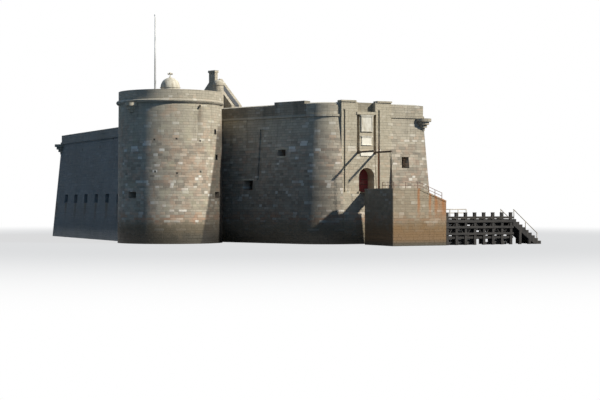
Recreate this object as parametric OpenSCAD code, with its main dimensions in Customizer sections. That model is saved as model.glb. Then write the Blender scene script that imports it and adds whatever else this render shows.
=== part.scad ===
// Sea fort of granite, a scale model at half size.
// The gateway faces -Y, +Z is up, and the origin is under the doorway at the foot of the walls.

/* [Main walls] */
// Height of the front walls, up to the cordon
front_h = 7215; // [6800:5:7600]
// Height of the rear walls, up to the cordon
rear_h = 6385; // [5900:5:6600]
// Thickness of the walls at the cordon
wall_t = 1000; // [800:10:1200]
// Outward lean of the wall faces for each unit of height
batter = 0.08; // [0.06:0.005:0.09]
// Distance of the front wall face behind the gate front, at the cordon
front_y = 150; // [120:5:180]
// Half width of the gate front
gate_half_w = 1610; // [1500:5:1800]
// Distance of the right front corner from the doorway's axis
front_right_x = 3825; // [3400:5:4200]
// Radius of the rounded corner left of the gate
corner_r = 1745; // [1500:5:1900]
// Angle between a flank wall and the long axis of the fort
flank_angle = 22.33; // [20:0.01:25]
// Where the flank walls end, behind the gate front
flank_end_y = 8025; // [7800:5:8200]
// Distance of the left wall face from the doorway's axis
left_x = 10460; // [10200:10:10700]
// Distance of the back wall face behind the gate front
back_y = 24875; // [23500:5:26000]
// Where the walls step down from the front height to the rear height
step_y = 12500; // [12000:10:13000]

/* [Parapets] */
// Height of the projecting cordon course
cordon_h = 135; // [100:5:180]
// Projection of the cordon
cordon_out = 60; // [40:5:90]
// Height of the front parapet above the foot of the cordon
front_parapet_h = 825; // [700:5:900]
// Height of the rear parapet above the foot of the cordon
rear_parapet_h = 700; // [600:5:800]
// Thickness of the parapets
parapet_t = 500; // [400:10:600]
// Fall of the parapet's coping towards the outside
coping_fall = 90; // [60:5:120]
// Length of the raised part of the left flank's parapet
merlon_len = 2320; // [1900:10:2380]
// Distance of the raised part from the end of the flank
merlon_s = 4890; // [4700:10:4950]
// Extra height of the raised part
merlon_up = 90; // [80:5:180]

/* [Gun-ports and windows] */
// Number of gun-ports in each long side wall
port_count = 6; // [4:1:6]
// Distance of the first gun-port behind the gate front
port_first_y = 11750; // [11600:10:11900]
// Distance from one gun-port to the next
port_pitch = 2210; // [2000:10:2250]
// Width of a gun-port at its throat
port_w = 400; // [300:10:450]
// Height of a gun-port
port_h = 550; // [450:10:600]
// Height of a gun-port's sill
port_sill = 2325; // [2250:5:2400]
// Spread of a gun-port's mouth on each side
port_splay = 90; // [60:5:110]
// Number of gun-ports in the back wall
back_port_count = 4; // [3:1:5]
// Width of the square window of a flank
flank_window_w = 400; // [300:10:500]
// Height of the square window of a flank
flank_window_h = 360; // [300:10:450]
// Sill of the square window of a flank
flank_window_sill = 5010; // [4900:5:5100]
// Distance of the square window from the rear end of its flank
flank_window_s = 5595; // [5500:5:5650]
// Size of the embrasure of a flank
flank_port = 560; // [450:10:600]
// Sill of the embrasure of a flank
flank_port_sill = 3070; // [3000:5:3150]
// Distance of the embrasure from the rear end of its flank
flank_port_s = 3065; // [2980:5:3150]
// Width of the tall window right of the gate
tall_window_w = 270; // [220:10:320]
// Height of the tall window right of the gate
tall_window_h = 640; // [540:10:700]
// Sill of the tall window right of the gate
tall_window_sill = 4330; // [4200:10:4450]
// Distance of the tall window from the doorway's axis
tall_window_x = 2520; // [2400:10:2650]
// Width of the drain chase in the left flank
chase_w = 300; // [200:10:350]
// Depth of the drain chase at its foot
chase_d = 90; // [60:5:120]
// Distance of the drain chase from the rear end of the left flank
chase_s = 3940; // [3850:5:4050]
// Height of the top of the drain chase
chase_top = 6600; // [6400:10:6700]

/* [Round tower] */
// Distance of the tower's centre left of the doorway's axis
tower_x = 9225; // [9100:5:9350]
// Distance of the tower's centre behind the gate front
tower_y = 7060; // [6950:5:7150]
// Radius of the tower at the cordon
tower_r = 3000; // [2900:10:3100]
// Extra radius at the foot
tower_spread = 60; // [40:5:100]
// Thickness of the tower's wall
tower_wall_t = 1300; // [1100:10:1500]
// Height of the tower's wall, up to its cordon
tower_h = 8020; // [7800:5:8300]
// Height of the tower's cordon
tower_cordon_h = 200; // [150:5:250]
// Projection of the tower's cordon
tower_cordon_out = 80; // [60:5:110]
// Height of the tower's parapet above the foot of the cordon
tower_parapet_h = 780; // [700:5:900]
// Sill height of the tower's embrasures
tower_port_sill = 2600; // [2500:10:2700]
// Height of the tower's embrasures
tower_port_h = 350; // [300:10:420]
// Width of the tower's embrasures at the throat
tower_port_w = 350; // [300:10:420]
// Width of the tower's small windows
tower_window_w = 260; // [200:10:300]
// Height of the tower's small windows
tower_window_h = 300; // [250:10:350]
// Sill height of the tower's lower window
tower_window_low = 4800; // [4700:10:4900]
// Sill height of the tower's upper window
tower_window_high = 6260; // [6150:10:6400]
// Direction of the tower's lower window, in degrees from the doorway's right
tower_window_low_turn = 311; // [309:0.5:313]
// Direction of the tower's upper window
tower_window_high_turn = 308.5; // [306:0.5:311]
// Spread of the tower's embrasures on each side
tower_port_splay = 130; // [100:5:150]
// Direction of the corbel under the tower's parapet
tower_corbel_turn = 203; // [200:0.5:206]
// Radius of that corbel at its top
tower_corbel_r = 380; // [350:10:420]
// Number of that corbel's tiers
tower_corbel_tiers = 3; // [2:1:4]
// Direction of the rain spout
spout_turn = 283; // [280:0.5:286]
// Length of the rain spout
spout_len = 260; // [200:10:320]
// Radius of the rain spout
spout_r = 60; // [45:1:70]

/* [Corner corbels] */
// Radius of a corner corbel at its top
corbel_r = 480; // [400:10:520]
// Height of a corbel's tier
corbel_tier = 175; // [140:5:200]
// Number of tiers in a corner corbel
corbel_tiers = 4; // [3:1:4]
// Share of its radius that a corbel loses at each tier
corbel_taper = 0.26; // [0.2:0.01:0.28]

/* [Gateway] */
// Height of the door sill
sill_z = 2920; // [2880:5:2960]
// Depth of the stone ledge's top under the door sill
ledge_drop = 70; // [60:5:90]
// Width of the doorway
door_w = 990; // [900:10:1050]
// Height at which the doorway's arch springs, above the sill
door_spring = 900; // [800:10:1000]
// Depth of the reveal in front of the doors
reveal_d = 750; // [700:10:800]
// Thickness of a door leaf
leaf_t = 60; // [40:5:70]
// Overlap of a door leaf behind the reveal
leaf_lap = 30; // [20:1:35]
// Length of a hinge strap
strap_len = 90; // [70:5:110]
// Width of a hinge strap
strap_w = 60; // [50:5:75]
// Thickness of a hinge strap
strap_t = 10; // [6:1:12]
// Height of the lower strap above the sill
strap_low = 160; // [120:5:200]
// Depth of the upper strap's foot below the arch's springing
strap_high = 200; // [160:5:240]
// Distance of each beam slot from the doorway's axis
slot_x = 535; // [525:5:560]
// Width of a beam slot
slot_w = 170; // [160:5:190]
// Depth of a beam slot
slot_d = 260; // [240:5:300]
// Height of the gate front above the foot of the cordon
gate_top_h = 835; // [780:5:900]
// Width of the two caps on the gate front
cap_w = 960; // [900:10:1000]
// Height of the caps
cap_h = 90; // [70:5:110]
// How far the caps stand out in front
cap_out = 60; // [40:5:80]
// How far a cap stands out at its end
cap_lip = 30; // [20:5:40]
// Distance of the left upright groove from the doorway's axis
groove_left = 1434; // [1380:1:1480]
// Distance of the right upright groove from the doorway's axis
groove_right = 797; // [760:1:840]
// Width of the grooves
groove_w = 130; // [100:5:150]
// Depth of the grooves
groove_d = 70; // [50:5:90]
// How far the grooves run above the foot of the cordon
groove_up = 400; // [300:10:500]
// Half width of the recess at the top of the gate front
recess_half_w = 570; // [530:5:620]
// Height of the recess's foot
recess_z = 7500; // [7400:10:7600]
// Depth of the recess
recess_d = 350; // [300:10:400]
// Height of the sill course under the recess
recess_sill_h = 160; // [120:5:180]
// Projection of that sill course
recess_sill_out = 50; // [35:5:60]
// Width of the blank relief panel
relief_w = 700; // [650:5:740]
// Height of the blank relief panel
relief_h = 860; // [800:5:900]
// Height of the relief panel's foot
relief_z = 6375; // [6300:5:6420]
// Width of the bare tablet
tablet_w = 620; // [560:5:680]
// Height of the bare tablet
tablet_h = 460; // [420:5:500]
// Height of the tablet's foot
tablet_z = 5600; // [5540:5:5660]
// Width of the blind block over the doorway
block_w = 800; // [720:5:840]
// Height of the blind block
block_h = 290; // [250:5:330]
// Height of the blind block's foot
block_z = 4990; // [4950:5:5020]

/* [Drawbridge] */
// Height of the beams' pivot
beam_z = 5200; // [5150:5:5250]
// Length of a beam from its pivot to the chain pin
beam_len = 1950; // [1850:10:2000]
// Width of a beam
beam_w = 80; // [70:2:90]
// Depth of a beam
beam_d = 100; // [90:5:120]
// Distance of the beams' pivot behind the gate front
beam_pivot_y = 120; // [110:5:135]
// Distance of the deck's hinge in front of the gate front
deck_hinge_y = 80; // [75:5:95]
// Half width of the deck
deck_half_w = 450; // [430:5:460]
// Thickness of the deck
deck_t = 70; // [60:2:80]

/* [Landing] */
// Width of the gap that the drawbridge crosses
gap_w = 1600; // [1500:10:1700]
// Depth of the landing pier, away from the fort
pier_d = 3125; // [2900:5:3300]
// Left edge of the pier from the doorway's axis
pier_left = 990; // [900:5:1100]
// Right edge of the pier's level top
pier_right = 690; // [600:5:750]
// Length of the landing stair
stair_len = 1670; // [1500:10:1800]
// Number of risers in the landing stair
stair_steps = 12; // [10:1:14]
// Depth of the landing stair, from the parapet inwards
stair_d = 1500; // [1200:10:1800]
// Thickness of the pier's low parapet
kerb_t = 250; // [200:10:300]
// Height of the pier's low parapet above its floor
kerb_h = 245; // [200:5:300]
// Thickness of the low parapet's coping
coping_t = 90; // [70:5:110]
// Projection of that coping on each side
coping_lip = 20; // [12:1:28]
// Height of the top of the stair's parapet at its foot
stair_wall_end = 2450; // [2300:10:2600]
// Height of the rail above the low parapet
rail_h = 340; // [300:10:400]
// Radius of the rails and their posts
rail_r = 18; // [15:1:22]

/* [Jetty] */
// Length of the jetty's deck
jetty_len = 4485; // [4000:5:4800]
// Width of the jetty's deck
jetty_w = 1400; // [1200:10:1500]
// Height of the top of the jetty's deck
jetty_z = 1545; // [1450:5:1600]
// Thickness of the jetty's deck
jetty_t = 90; // [70:5:110]
// Setback of the jetty's front from the pier's
jetty_set = 75; // [50:5:90]
// Length of the jetty's stair
jetty_stair_len = 1900; // [1700:10:2100]
// Width of a jetty pile
pile_w = 150; // [120:5:180]
// Number of pile rows along the jetty
pile_rows = 8; // [6:1:9]
// Height of the mooring posts above the deck
bollard_h = 230; // [180:10:280]
// Distance of the piles from the edges of the deck
pile_in = 20; // [10:1:30]
// Height of the lower waling's foot
waling_z = 350; // [300:10:420]
// Depth of the walings
waling_d = 120; // [100:5:140]
// Distance of the upper waling's foot under the deck
waling_drop = 160; // [140:5:200]
// Height of the braces' lower ends
brace_z = 400; // [370:5:450]
// Number of treads in the jetty's stair
jetty_steps = 9; // [8:1:10]
// Distance of the stair's strings from the edges of the deck
jetty_stair_in = 60; // [40:5:80]

/* [Inside] */
// Height of the ground floor's top
floor_z = 2050; // [2000:10:2200]
// Thickness of the floors
floor_t = 300; // [200:10:350]
// Thickness of the court's walls
court_t = 400; // [300:10:450]
// Left side of the court from the doorway's axis
court_left = 7000; // [6500:10:7300]
// Right side of the court from the doorway's axis
court_right = 3700; // [3300:10:4100]
// Back of the court behind the gate front
court_back = 21400; // [20500:10:22000]
// Width of the court's arches
arch_w = 1300; // [1000:10:1500]
// Height of the court's arches at their springing, above the floor
arch_spring = 1100; // [900:10:1300]
// Place of the left front arch, as a share of the court's left side
court_arch_left = 0.62; // [0.55:0.01:0.7]
// Place of the right front arch, as a share of the court's right side
court_arch_right = 0.75; // [0.68:0.01:0.8]
// Half width of the raised passage floor behind the gate
ramp_half_w = 1200; // [1100:10:1250]
// How far behind the gate front the passage floor runs level
ramp_flat = 2600; // [2400:10:3000]
// Level floor left between the foot of the ramp and the court's front wall
ramp_clear = 4000; // [3600:10:4400]
// Top of the tower's upper floor
tower_upper_floor = 4200; // [4120:10:4300]
// Width of the doorway from the fort into the tower
inner_door_w = 600; // [500:10:700]
// Height of that doorway's arch at its springing, above the floor
inner_door_spring = 900; // [800:10:1000]

/* [Roof house] */
// Span of the roof house, from eave to eave
house_w = 3400; // [3000:10:3700]
// Depth of the roof house
house_d = 900; // [850:10:1200]
// Height of the roof house's side walls
house_wall_h = 850; // [750:10:950]
// Rise of the roof house's roof
house_rise = 1620; // [1400:10:1750]
// Thickness of the roof house's walls
house_t = 250; // [200:10:300]
// Thickness of the slate roof
slate_t = 90; // [70:5:110]
// Width of the chimney
chimney_w = 520; // [450:10:600]
// Height of the chimney above the terrace
chimney_h = 3150; // [3000:10:3400]
// Height of the chimney's cap
chimney_cap_h = 140; // [110:5:170]
// Projection of the chimney's cap
chimney_cap_out = 40; // [30:1:50]
// Distance of the roof house behind the rear end of the left flank
house_back = 1700; // [1600:10:1800]
// Distance of the roof house inside the left flank's face
house_in = 1445; // [1350:5:1550]
// Height of the gables above the roof
coping_up = 130; // [100:5:160]
// Width of the roof house's doorway
house_door_w = 500; // [440:10:560]
// Height of the roof house's doorway
house_door_h = 980; // [900:10:1040]

/* [Turrets and flagpole] */
// Radius of the stair turret on the tower
dome_r = 565; // [500:5:620]
// Height of the stair turret's drum
drum_h = 830; // [700:10:950]
// Radius of the small turret behind the left flank
small_turret_r = 330; // [280:5:370]
// Height of the small turret's drum
small_drum_h = 2110; // [1900:10:2300]
// Height of the rim under a dome
rim_h = 40; // [30:1:50]
// Projection of the rim under a dome
rim_out = 30; // [20:1:40]
// Height of the finial on the stair turret
finial_h = 330; // [280:10:380]
// Radius of the finial's ball
finial_r = 75; // [60:1:85]
// Height of the flagpole
pole_h = 5050; // [4500:10:5500]
// Radius of the flagpole at its foot
pole_r = 45; // [38:1:55]
// Distance of the flagpole from the tower's centre
pole_x = 950; // [850:10:1050]
// Height of the flagpole's foot
pole_foot_h = 120; // [90:5:150]

/* [Hidden] */
$fn = 48;
// Sides of the large round surfaces
round_fn = 288;

stone = "tan";
dark_stone = "dimgray";

// Running clearance at pins, and the play between moving faces
pin_gap = 0.5;
play = 6;
// How far a cutting shape runs past the face it cuts
past = 50;
// Gap left between touching nodes, so that rounded coordinates make no overlap
joint_gap = 0.1;

// Tangent length of the rounded front corner, and the corner's sharp vertex
turn = 90 - flank_angle;
front_left_x = -gate_half_w - corner_r * tan(turn / 2);
corner_centre = [-gate_half_w, front_y + corner_r];
flank_run = (flank_end_y - front_y) * tan(flank_angle);
right_x = front_right_x + flank_run;
foot_out = front_h * batter;
far_out = foot_out + past;

// Corners of the wall faces at the height of the front cordon, anticlockwise from above
OUTLINE = [[front_left_x, front_y], [front_right_x, front_y], [right_x, flank_end_y],
    [right_x, back_y], [-left_x, back_y], [-left_x, flank_end_y],
    [front_left_x - flank_run, flank_end_y]];
FRONT = 0;
RIGHT_FLANK = 1;
RIGHT = 2;
BACK = 3;
LEFT = 4;
NECK = 5;
LEFT_FLANK = 6;

function corner(i) = OUTLINE[i % len(OUTLINE)];
function along(i) = corner(i + 1) - corner(i);
function unit(v) = v / norm(v);
function inward(i) = [-unit(along(i)).y, unit(along(i)).x];
function before(i) = (i + len(OUTLINE) - 1) % len(OUTLINE);
// A corner of the outline moved inwards by d from both of its walls
function inset(i, d) =
    let (p = inward(before(i)), q = inward(i)) corner(i) + (p + q) * d / (1 + p * q);
function heading(i) = atan2(along(i).y, along(i).x);
// How far a wall's face stands outside the outline at height z
function face_out(z) = (front_h - z) * batter;

// Plan of a wall, mitred at both of its corners
function mitred(i) =
    [inset(i, -far_out), inset(i + 1, -far_out), inset(i + 1, wall_t), inset(i, wall_t)];
flank_normal = -inward(LEFT_FLANK);
flank_seat = joint_gap * unit(along(LEFT_FLANK));
// Plan of the left flank, from its mitre to the start of the rounded corner
LEFT_FLANK_PLAN = [inset(LEFT_FLANK, -far_out) + flank_seat,
    corner_centre + (corner_r + far_out) * flank_normal - flank_seat,
    corner_centre + (corner_r - wall_t) * flank_normal - flank_seat,
    inset(LEFT_FLANK, wall_t) + flank_seat];
// Plan of the front wall right of the gate
FRONT_RIGHT_PLAN = [[gate_half_w, front_y - far_out], inset(1, -far_out), inset(1, wall_t),
    [gate_half_w, front_y + wall_t]];

// Places its children in a wall's own frame: x along the wall, y inwards, z up
module on_wall(i) {
    translate([corner(i).x, corner(i).y, 0]) rotate([0, 0, heading(i)]) children();
}

// Carries a section, drawn in y and z, along a wall and past both of its ends
module run(i, section) {
    over = wall_t + far_out;
    on_wall(i) translate([-over, 0, 0]) rotate([90, 0, 90])
        linear_extrude(norm(along(i)) + 2 * over) polygon(section);
}

function wall_section(h) = [[-foot_out, 0], [-face_out(h), h], [wall_t, h], [wall_t, 0]];
// Cordon, upright face and coping that falls outwards, with its inner edge at height top
function parapet_section(h, top) =
    let (f = -face_out(h), up = h + top)
    [[f - cordon_out, h], [f - cordon_out, h + cordon_h], [f, h + cordon_h], [f, up - coping_fall],
     [f + parapet_t, up], [f + parapet_t, h]];

// Limits a wall in plan
module within(plan, h) {
    intersection() {
        children();
        linear_extrude(h) polygon(plan);
    }
}

// Part of the plan in front of the step, or behind it
module step_side(front) {
    wide = left_x + right_x;
    translate([-wide, front ? -wide : step_y, -past])
        cube([2 * wide, front ? wide + step_y : wide + back_y, 2 * front_h]);
}

// A gun-port through a wall, with a throat and a mouth that spreads to both faces
module gun_port(s, sill, w, h) {
    mouth = w / 2 + port_splay;
    out = -face_out(sill) - past;
    throat = out + wall_t * 0.45;
    translate([s, 0, sill]) linear_extrude(h)
        polygon([[-mouth - port_splay, out], [mouth + port_splay, out], [w / 2, throat],
            [mouth, wall_t + past], [-mouth, wall_t + past], [-w / 2, throat]]);
}

// Everything the tower takes up, its cordon and parapet included
module tower_envelope() {
    translate([-tower_x, tower_y, 0]) {
        cylinder(h = tower_h, r1 = tower_r + tower_spread, r2 = tower_r, $fn = round_fn);
        translate([0, 0, tower_h]) cylinder(h = tower_h, r = tower_r + tower_cordon_out, $fn = round_fn);
    }
}

module side_ports(i, from_start) {
    for (k = [0 : port_count - 1]) {
        y = port_first_y + k * port_pitch;
        s = from_start ? y - flank_end_y : back_y - y;
        on_wall(i) gun_port(s, port_sill, port_w, port_h);
    }
}

module stepped_side_wall(i) {
    within(mitred(i), front_h) {
        intersection() {
            run(i, wall_section(front_h));
            step_side(true);
        }
        intersection() {
            run(i, wall_section(rear_h));
            step_side(false);
        }
    }
}

module left_wall() {
    color(stone) difference() {
        stepped_side_wall(LEFT);
        tower_envelope();
        side_ports(LEFT, false);
    }
}

module right_wall() {
    color(stone) difference() {
        stepped_side_wall(RIGHT);
        side_ports(RIGHT, true);
    }
}

module back_wall() {
    pitch = norm(along(BACK)) / (back_port_count + 1);
    color(stone) difference() {
        within(mitred(BACK), rear_h) run(BACK, wall_section(rear_h));
        for (k = [1 : back_port_count]) on_wall(BACK) gun_port(k * pitch, port_sill, port_w, port_h);
    }
}

// Square window and embrasure of a flank, whose distances run from its rear end
module flank_openings(i, from_start) {
    size = norm(along(i));
    window_s = from_start ? flank_window_s : size - flank_window_s;
    port_s = from_start ? flank_port_s : size - flank_port_s;
    on_wall(i) {
        gun_port(window_s, flank_window_sill, flank_window_w - port_splay, flank_window_h);
        gun_port(port_s, flank_port_sill, flank_port - port_splay, flank_port);
    }
}

// Upright chase for a drain, sunk into the left flank's face
module drain_chase() {
    foot = flank_port_sill + flank_port;
    outside = -face_out(foot) - past;
    on_wall(LEFT_FLANK) translate([chase_s - chase_w / 2, 0, 0]) rotate([90, 0, 90])
        linear_extrude(chase_w)
            polygon([[outside, foot], [chase_d - face_out(foot), foot],
                [chase_d - face_out(chase_top), chase_top], [outside, chase_top]]);
}

// Turns a section, drawn by its distance inside the wall's face, round the front corner
module round_corner(section) {
    translate([corner_centre.x, corner_centre.y, 0])
        rotate_extrude(angle = turn, start = 180 + flank_angle, $fn = round_fn)
            polygon([for (p = section) [corner_r - p.x, p.y]]);
}

// Short wall beside the tower, mostly taken up by it, and the rounded corner beside the gate
module corner_walls() {
    color(stone) {
        difference() {
            within(mitred(NECK), front_h) run(NECK, wall_section(front_h));
            tower_envelope();
        }
        round_corner(wall_section(front_h));
    }
}

module left_flank_wall() {
    color(stone) difference() {
        within(LEFT_FLANK_PLAN, front_h) run(LEFT_FLANK, wall_section(front_h));
        tower_envelope();
        flank_openings(LEFT_FLANK, true);
        drain_chase();
    }
}

module front_right_wall() {
    color(stone) difference() {
        within(FRONT_RIGHT_PLAN, front_h) run(FRONT, wall_section(front_h));
        on_wall(FRONT) gun_port(tall_window_x - front_left_x, tall_window_sill,
            tall_window_w - port_splay, tall_window_h);
    }
}

module right_flank_wall() {
    color(stone) difference() {
        within(mitred(RIGHT_FLANK), front_h) run(RIGHT_FLANK, wall_section(front_h));
        flank_openings(RIGHT_FLANK, false);
    }
}

module corner_parapets() {
    section = parapet_section(front_h, front_parapet_h);
    color(stone) {
        difference() {
            within(mitred(NECK), front_h + front_parapet_h) run(NECK, section);
            tower_envelope();
        }
        round_corner(section);
    }
}

module left_flank_parapet() {
    color(stone) {
        within(LEFT_FLANK_PLAN, front_h + front_parapet_h)
            run(LEFT_FLANK, parapet_section(front_h, front_parapet_h));
        on_wall(LEFT_FLANK) translate([merlon_s, 0, front_h + cordon_h])
            cube([merlon_len, parapet_t, front_parapet_h - cordon_h + merlon_up]);
    }
}

module right_flank_parapet() {
    high = front_h + front_parapet_h;
    section = parapet_section(front_h, front_parapet_h);
    color(stone) {
        within(FRONT_RIGHT_PLAN, high) run(FRONT, section);
        within(mitred(RIGHT_FLANK), high) run(RIGHT_FLANK, section);
        intersection() {
            within(mitred(RIGHT), high) run(RIGHT, section);
            step_side(true);
        }
    }
}

module rear_parapet() {
    high = rear_h + rear_parapet_h;
    section = parapet_section(rear_h, rear_parapet_h);
    color(stone) {
        for (i = [RIGHT, BACK, LEFT]) intersection() {
            within(mitred(i), high) run(i, section);
            step_side(false);
        }
        difference() {
            intersection() {
                within(mitred(LEFT), front_h + front_parapet_h)
                    run(LEFT, parapet_section(front_h, front_parapet_h));
                step_side(true);
            }
            tower_envelope();
        }
    }
}

// Points along the inner side of the rounded corner, at a distance in from the face
function corner_arc(d) = [for (k = [0 : 6]) let (a = 180 + flank_angle + k * turn / 6)
    corner_centre + (corner_r - d) * [cos(a), sin(a)]];

court_front = step_y + court_t;

module front_terrace() {
    lip = parapet_t + joint_gap;
    plan = concat([inset(1, lip), inset(2, lip), [right_x - lip, court_front],
        [lip - left_x, court_front], inset(5, lip), inset(6, lip)], corner_arc(lip));
    color(stone) translate([0, 0, front_h]) linear_extrude(cordon_h) difference() {
        polygon(plan);
        translate([-tower_x, tower_y]) circle(r = tower_r + tower_spread, $fn = round_fn);
    }
}

module rear_terrace() {
    lip = parapet_t - face_out(rear_h) + joint_gap;
    size = [left_x + right_x - 2 * lip, back_y - lip - court_front];
    hole = [court_left + court_right, court_back - court_front + past];
    color(stone) translate([0, 0, rear_h]) linear_extrude(cordon_h) difference() {
        translate([lip - left_x, court_front]) square(size);
        translate([-court_left, court_front - past]) square(hole);
    }
}

module ground_floor() {
    lip = wall_t + joint_gap;
    plan = concat([for (i = [1 : 6]) inset(i, lip)], corner_arc(lip));
    color(dark_stone) translate([0, 0, floor_z - floor_t]) linear_extrude(floor_t) difference() {
        polygon(plan);
        translate([-tower_x, tower_y]) circle(r = tower_r + tower_spread, $fn = round_fn);
    }
}

// An arched opening through a wall that lies along x, at the origin
module arch_cut(w, spring, depth) {
    translate([0, depth / 2, 0]) rotate([90, 0, 0]) linear_extrude(depth) {
        translate([-w / 2, 0]) square([w, spring]);
        translate([0, spring]) circle(d = w);
    }
}

module court_front_wall() {
    inner = wall_t + joint_gap;
    places = [-court_left * court_arch_left, 0, court_right * court_arch_right];
    color(stone) difference() {
        translate([inner - left_x, step_y, floor_z])
            cube([left_x + right_x - 2 * inner, court_t, front_h - floor_z]);
        for (x = places) translate([x, step_y + court_t / 2, floor_z - 1])
            arch_cut(arch_w, arch_spring, 2 * court_t);
    }
}

module court_side_walls() {
    size = court_back - court_front;
    color(stone) for (x = [-court_left - court_t, court_right]) difference() {
        translate([x, court_front, floor_z]) cube([court_t, size, rear_h - floor_z]);
        for (k = [1 : 3]) translate([x + court_t / 2, court_front + k * size / 4, floor_z - 1])
            rotate([0, 0, 90]) arch_cut(arch_w, arch_spring, 2 * court_t);
    }
}

module court_back_wall() {
    size = court_left + court_right + 2 * court_t;
    start = -court_left - court_t;
    color(stone) difference() {
        translate([start, court_back, floor_z]) cube([size, court_t, rear_h - floor_z]);
        for (k = [1 : 2]) translate([start + k * size / 3, court_back + court_t / 2, floor_z - 1])
            arch_cut(arch_w, arch_spring, 2 * court_t);
    }
}

// Stepped corbel that carried a corner turret: stacked discs that narrow downwards
module corbel_discs(r, tiers) {
    for (k = [0 : tiers - 1]) translate([0, 0, -(k + 1) * corbel_tier])
        cylinder(h = corbel_tier, r = r * (1 - corbel_taper * k), $fn = 32);
}

module corner_corbels() {
    color(stone) {
        difference() {
            translate([front_right_x, front_y, front_h]) corbel_discs(corbel_r, corbel_tiers);
            right_flank_solid();
        }
        for (i = [BACK, LEFT]) difference() {
            translate([inset(i, -face_out(rear_h)).x, inset(i, -face_out(rear_h)).y, rear_h])
                corbel_discs(corbel_r, corbel_tiers);
            rear_block();
        }
    }
}

// The full body behind the right front corner, with its leaning faces
module right_flank_solid() {
    intersection() {
        run(FRONT, wall_section(front_h));
        translate([gate_half_w, -front_h, 0]) cube([front_h, 2 * front_h, front_h]);
        within(mitred(FRONT), front_h) run(FRONT, wall_section(front_h));
    }
    within(mitred(RIGHT_FLANK), front_h) run(RIGHT_FLANK, wall_section(front_h));
}

// The walls that meet at the two rear corners
module rear_block() {
    for (i = [RIGHT, BACK, LEFT]) within(mitred(i), rear_h) run(i, wall_section(rear_h));
}

tower_inner_r = tower_r - tower_wall_t;

// A straight hole through the tower's wall, with a mouth that spreads to both faces
module tower_port(turned, sill, w, h, splay) {
    inside = tower_inner_r - past * 4;
    throat = tower_r - tower_wall_t / 3;
    outside = tower_r + past * 4;
    mouth = w / 2 + splay * 1.4;
    rotate([0, 0, turned]) translate([0, 0, sill]) linear_extrude(h)
        polygon([[inside, -w / 2 - splay], [throat, -w / 2], [outside, -mouth], [outside, mouth],
            [throat, w / 2], [inside, w / 2 + splay]]);
}

// Directions of the embrasures, and of the doorway from the fort into the gun room
EMBRASURES = [135, 204, 312.6];
inner_door_turn = 45;

// One quarter of the tower's round wall
module tower_quarter(start) {
    translate([-tower_x, tower_y, 0]) difference() {
        rotate_extrude(angle = 90, start = start, $fn = round_fn)
            polygon([[tower_inner_r, 0], [tower_r + tower_spread, 0], [tower_r, tower_h],
                [tower_inner_r, tower_h]]);
        for (turned = EMBRASURES)
            tower_port(turned, tower_port_sill, tower_port_w, tower_port_h, tower_port_splay);
        tower_port(tower_window_low_turn, tower_window_low, tower_window_w, tower_window_h, 0);
        tower_port(tower_window_high_turn, tower_window_high, tower_window_w, tower_window_h, 0);
        rotate([0, 0, inner_door_turn]) translate([tower_r - tower_wall_t / 2, 0, floor_z])
            rotate([0, 0, 90]) arch_cut(inner_door_w, inner_door_spring, 2 * tower_wall_t);
    }
}

module tower_wall_inner_right() { color(stone) tower_quarter(0); }
module tower_wall_inner_left() { color(stone) tower_quarter(90); }
module tower_wall_outer_left() { color(stone) tower_quarter(180); }
module tower_wall_outer_right() { color(stone) tower_quarter(270); }

module tower_floors() {
    color(dark_stone) translate([-tower_x, tower_y, 0]) for (top = [floor_z, tower_upper_floor])
        translate([0, 0, top - floor_t]) cylinder(h = floor_t, r = tower_inner_r, $fn = round_fn);
}

module tower_roof() {
    color(stone) translate([-tower_x, tower_y, tower_h])
        cylinder(h = tower_cordon_h, r = tower_r - parapet_t, $fn = round_fn);
}

module tower_parapet() {
    color(stone) translate([-tower_x, tower_y, tower_h]) rotate_extrude($fn = round_fn)
        polygon([[tower_r - parapet_t, 0], [tower_r + tower_cordon_out, 0],
            [tower_r + tower_cordon_out, tower_cordon_h], [tower_r, tower_cordon_h],
            [tower_r, tower_parapet_h - coping_fall / 2], [tower_r - parapet_t, tower_parapet_h]]);
}

// Corbel of a lost turret, with the rain spout that stands out of the tower beside it
module tower_corbel() {
    depth = corbel_tier * tower_corbel_tiers;
    seat_r = tower_r + tower_spread * depth / tower_h;
    color(stone) translate([-tower_x, tower_y, -joint_gap]) difference() {
        union() {
            rotate([0, 0, tower_corbel_turn]) translate([tower_r, 0, tower_h])
                corbel_discs(tower_corbel_r, tower_corbel_tiers);
            rotate([0, 0, spout_turn]) translate([tower_r - past, 0, tower_h - 3 * spout_r])
                rotate([0, 90, 0]) cylinder(h = spout_len, r = spout_r, $fn = 24);
        }
        translate([0, 0, tower_h - depth - past])
            cylinder(h = depth + 2 * past, r = seat_r, $fn = round_fn);
    }
}

// A round drum with a half-round dome and a ball finial
module domed_turret(r, h) {
    cylinder(h = h, r = r);
    translate([0, 0, h]) cylinder(h = rim_h, r = r + rim_out);
    intersection() {
        translate([0, 0, h + rim_h]) sphere(r = r);
        translate([0, 0, h + rim_h]) cylinder(h = r, r = r + rim_out);
    }
}

module stair_turret() {
    stem = finial_h - past;
    color("lightgray") translate([-tower_x, tower_y, tower_h + tower_cordon_h]) {
        domed_turret(dome_r, drum_h);
        translate([0, 0, drum_h + dome_r]) cylinder(h = stem, r = finial_r * 0.4, $fn = 24);
        translate([0, 0, drum_h + dome_r + stem]) sphere(r = finial_r, $fn = 24);
    }
}

module corner_turret() {
    p = inset(LEFT_FLANK, parapet_t + small_turret_r + past);
    color(stone) translate([p.x, p.y, front_h + cordon_h]) domed_turret(small_turret_r, small_drum_h);
}

module flagpole() {
    color("white") translate([-tower_x - pole_x, tower_y, tower_h + tower_cordon_h]) {
        cylinder(h = pole_foot_h, r = 3 * pole_r, $fn = 24);
        cylinder(h = pole_h, r1 = pole_r, r2 = pole_r / 2, $fn = 24);
        translate([0, 0, pole_h]) sphere(r = pole_r, $fn = 24);
    }
}

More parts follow.
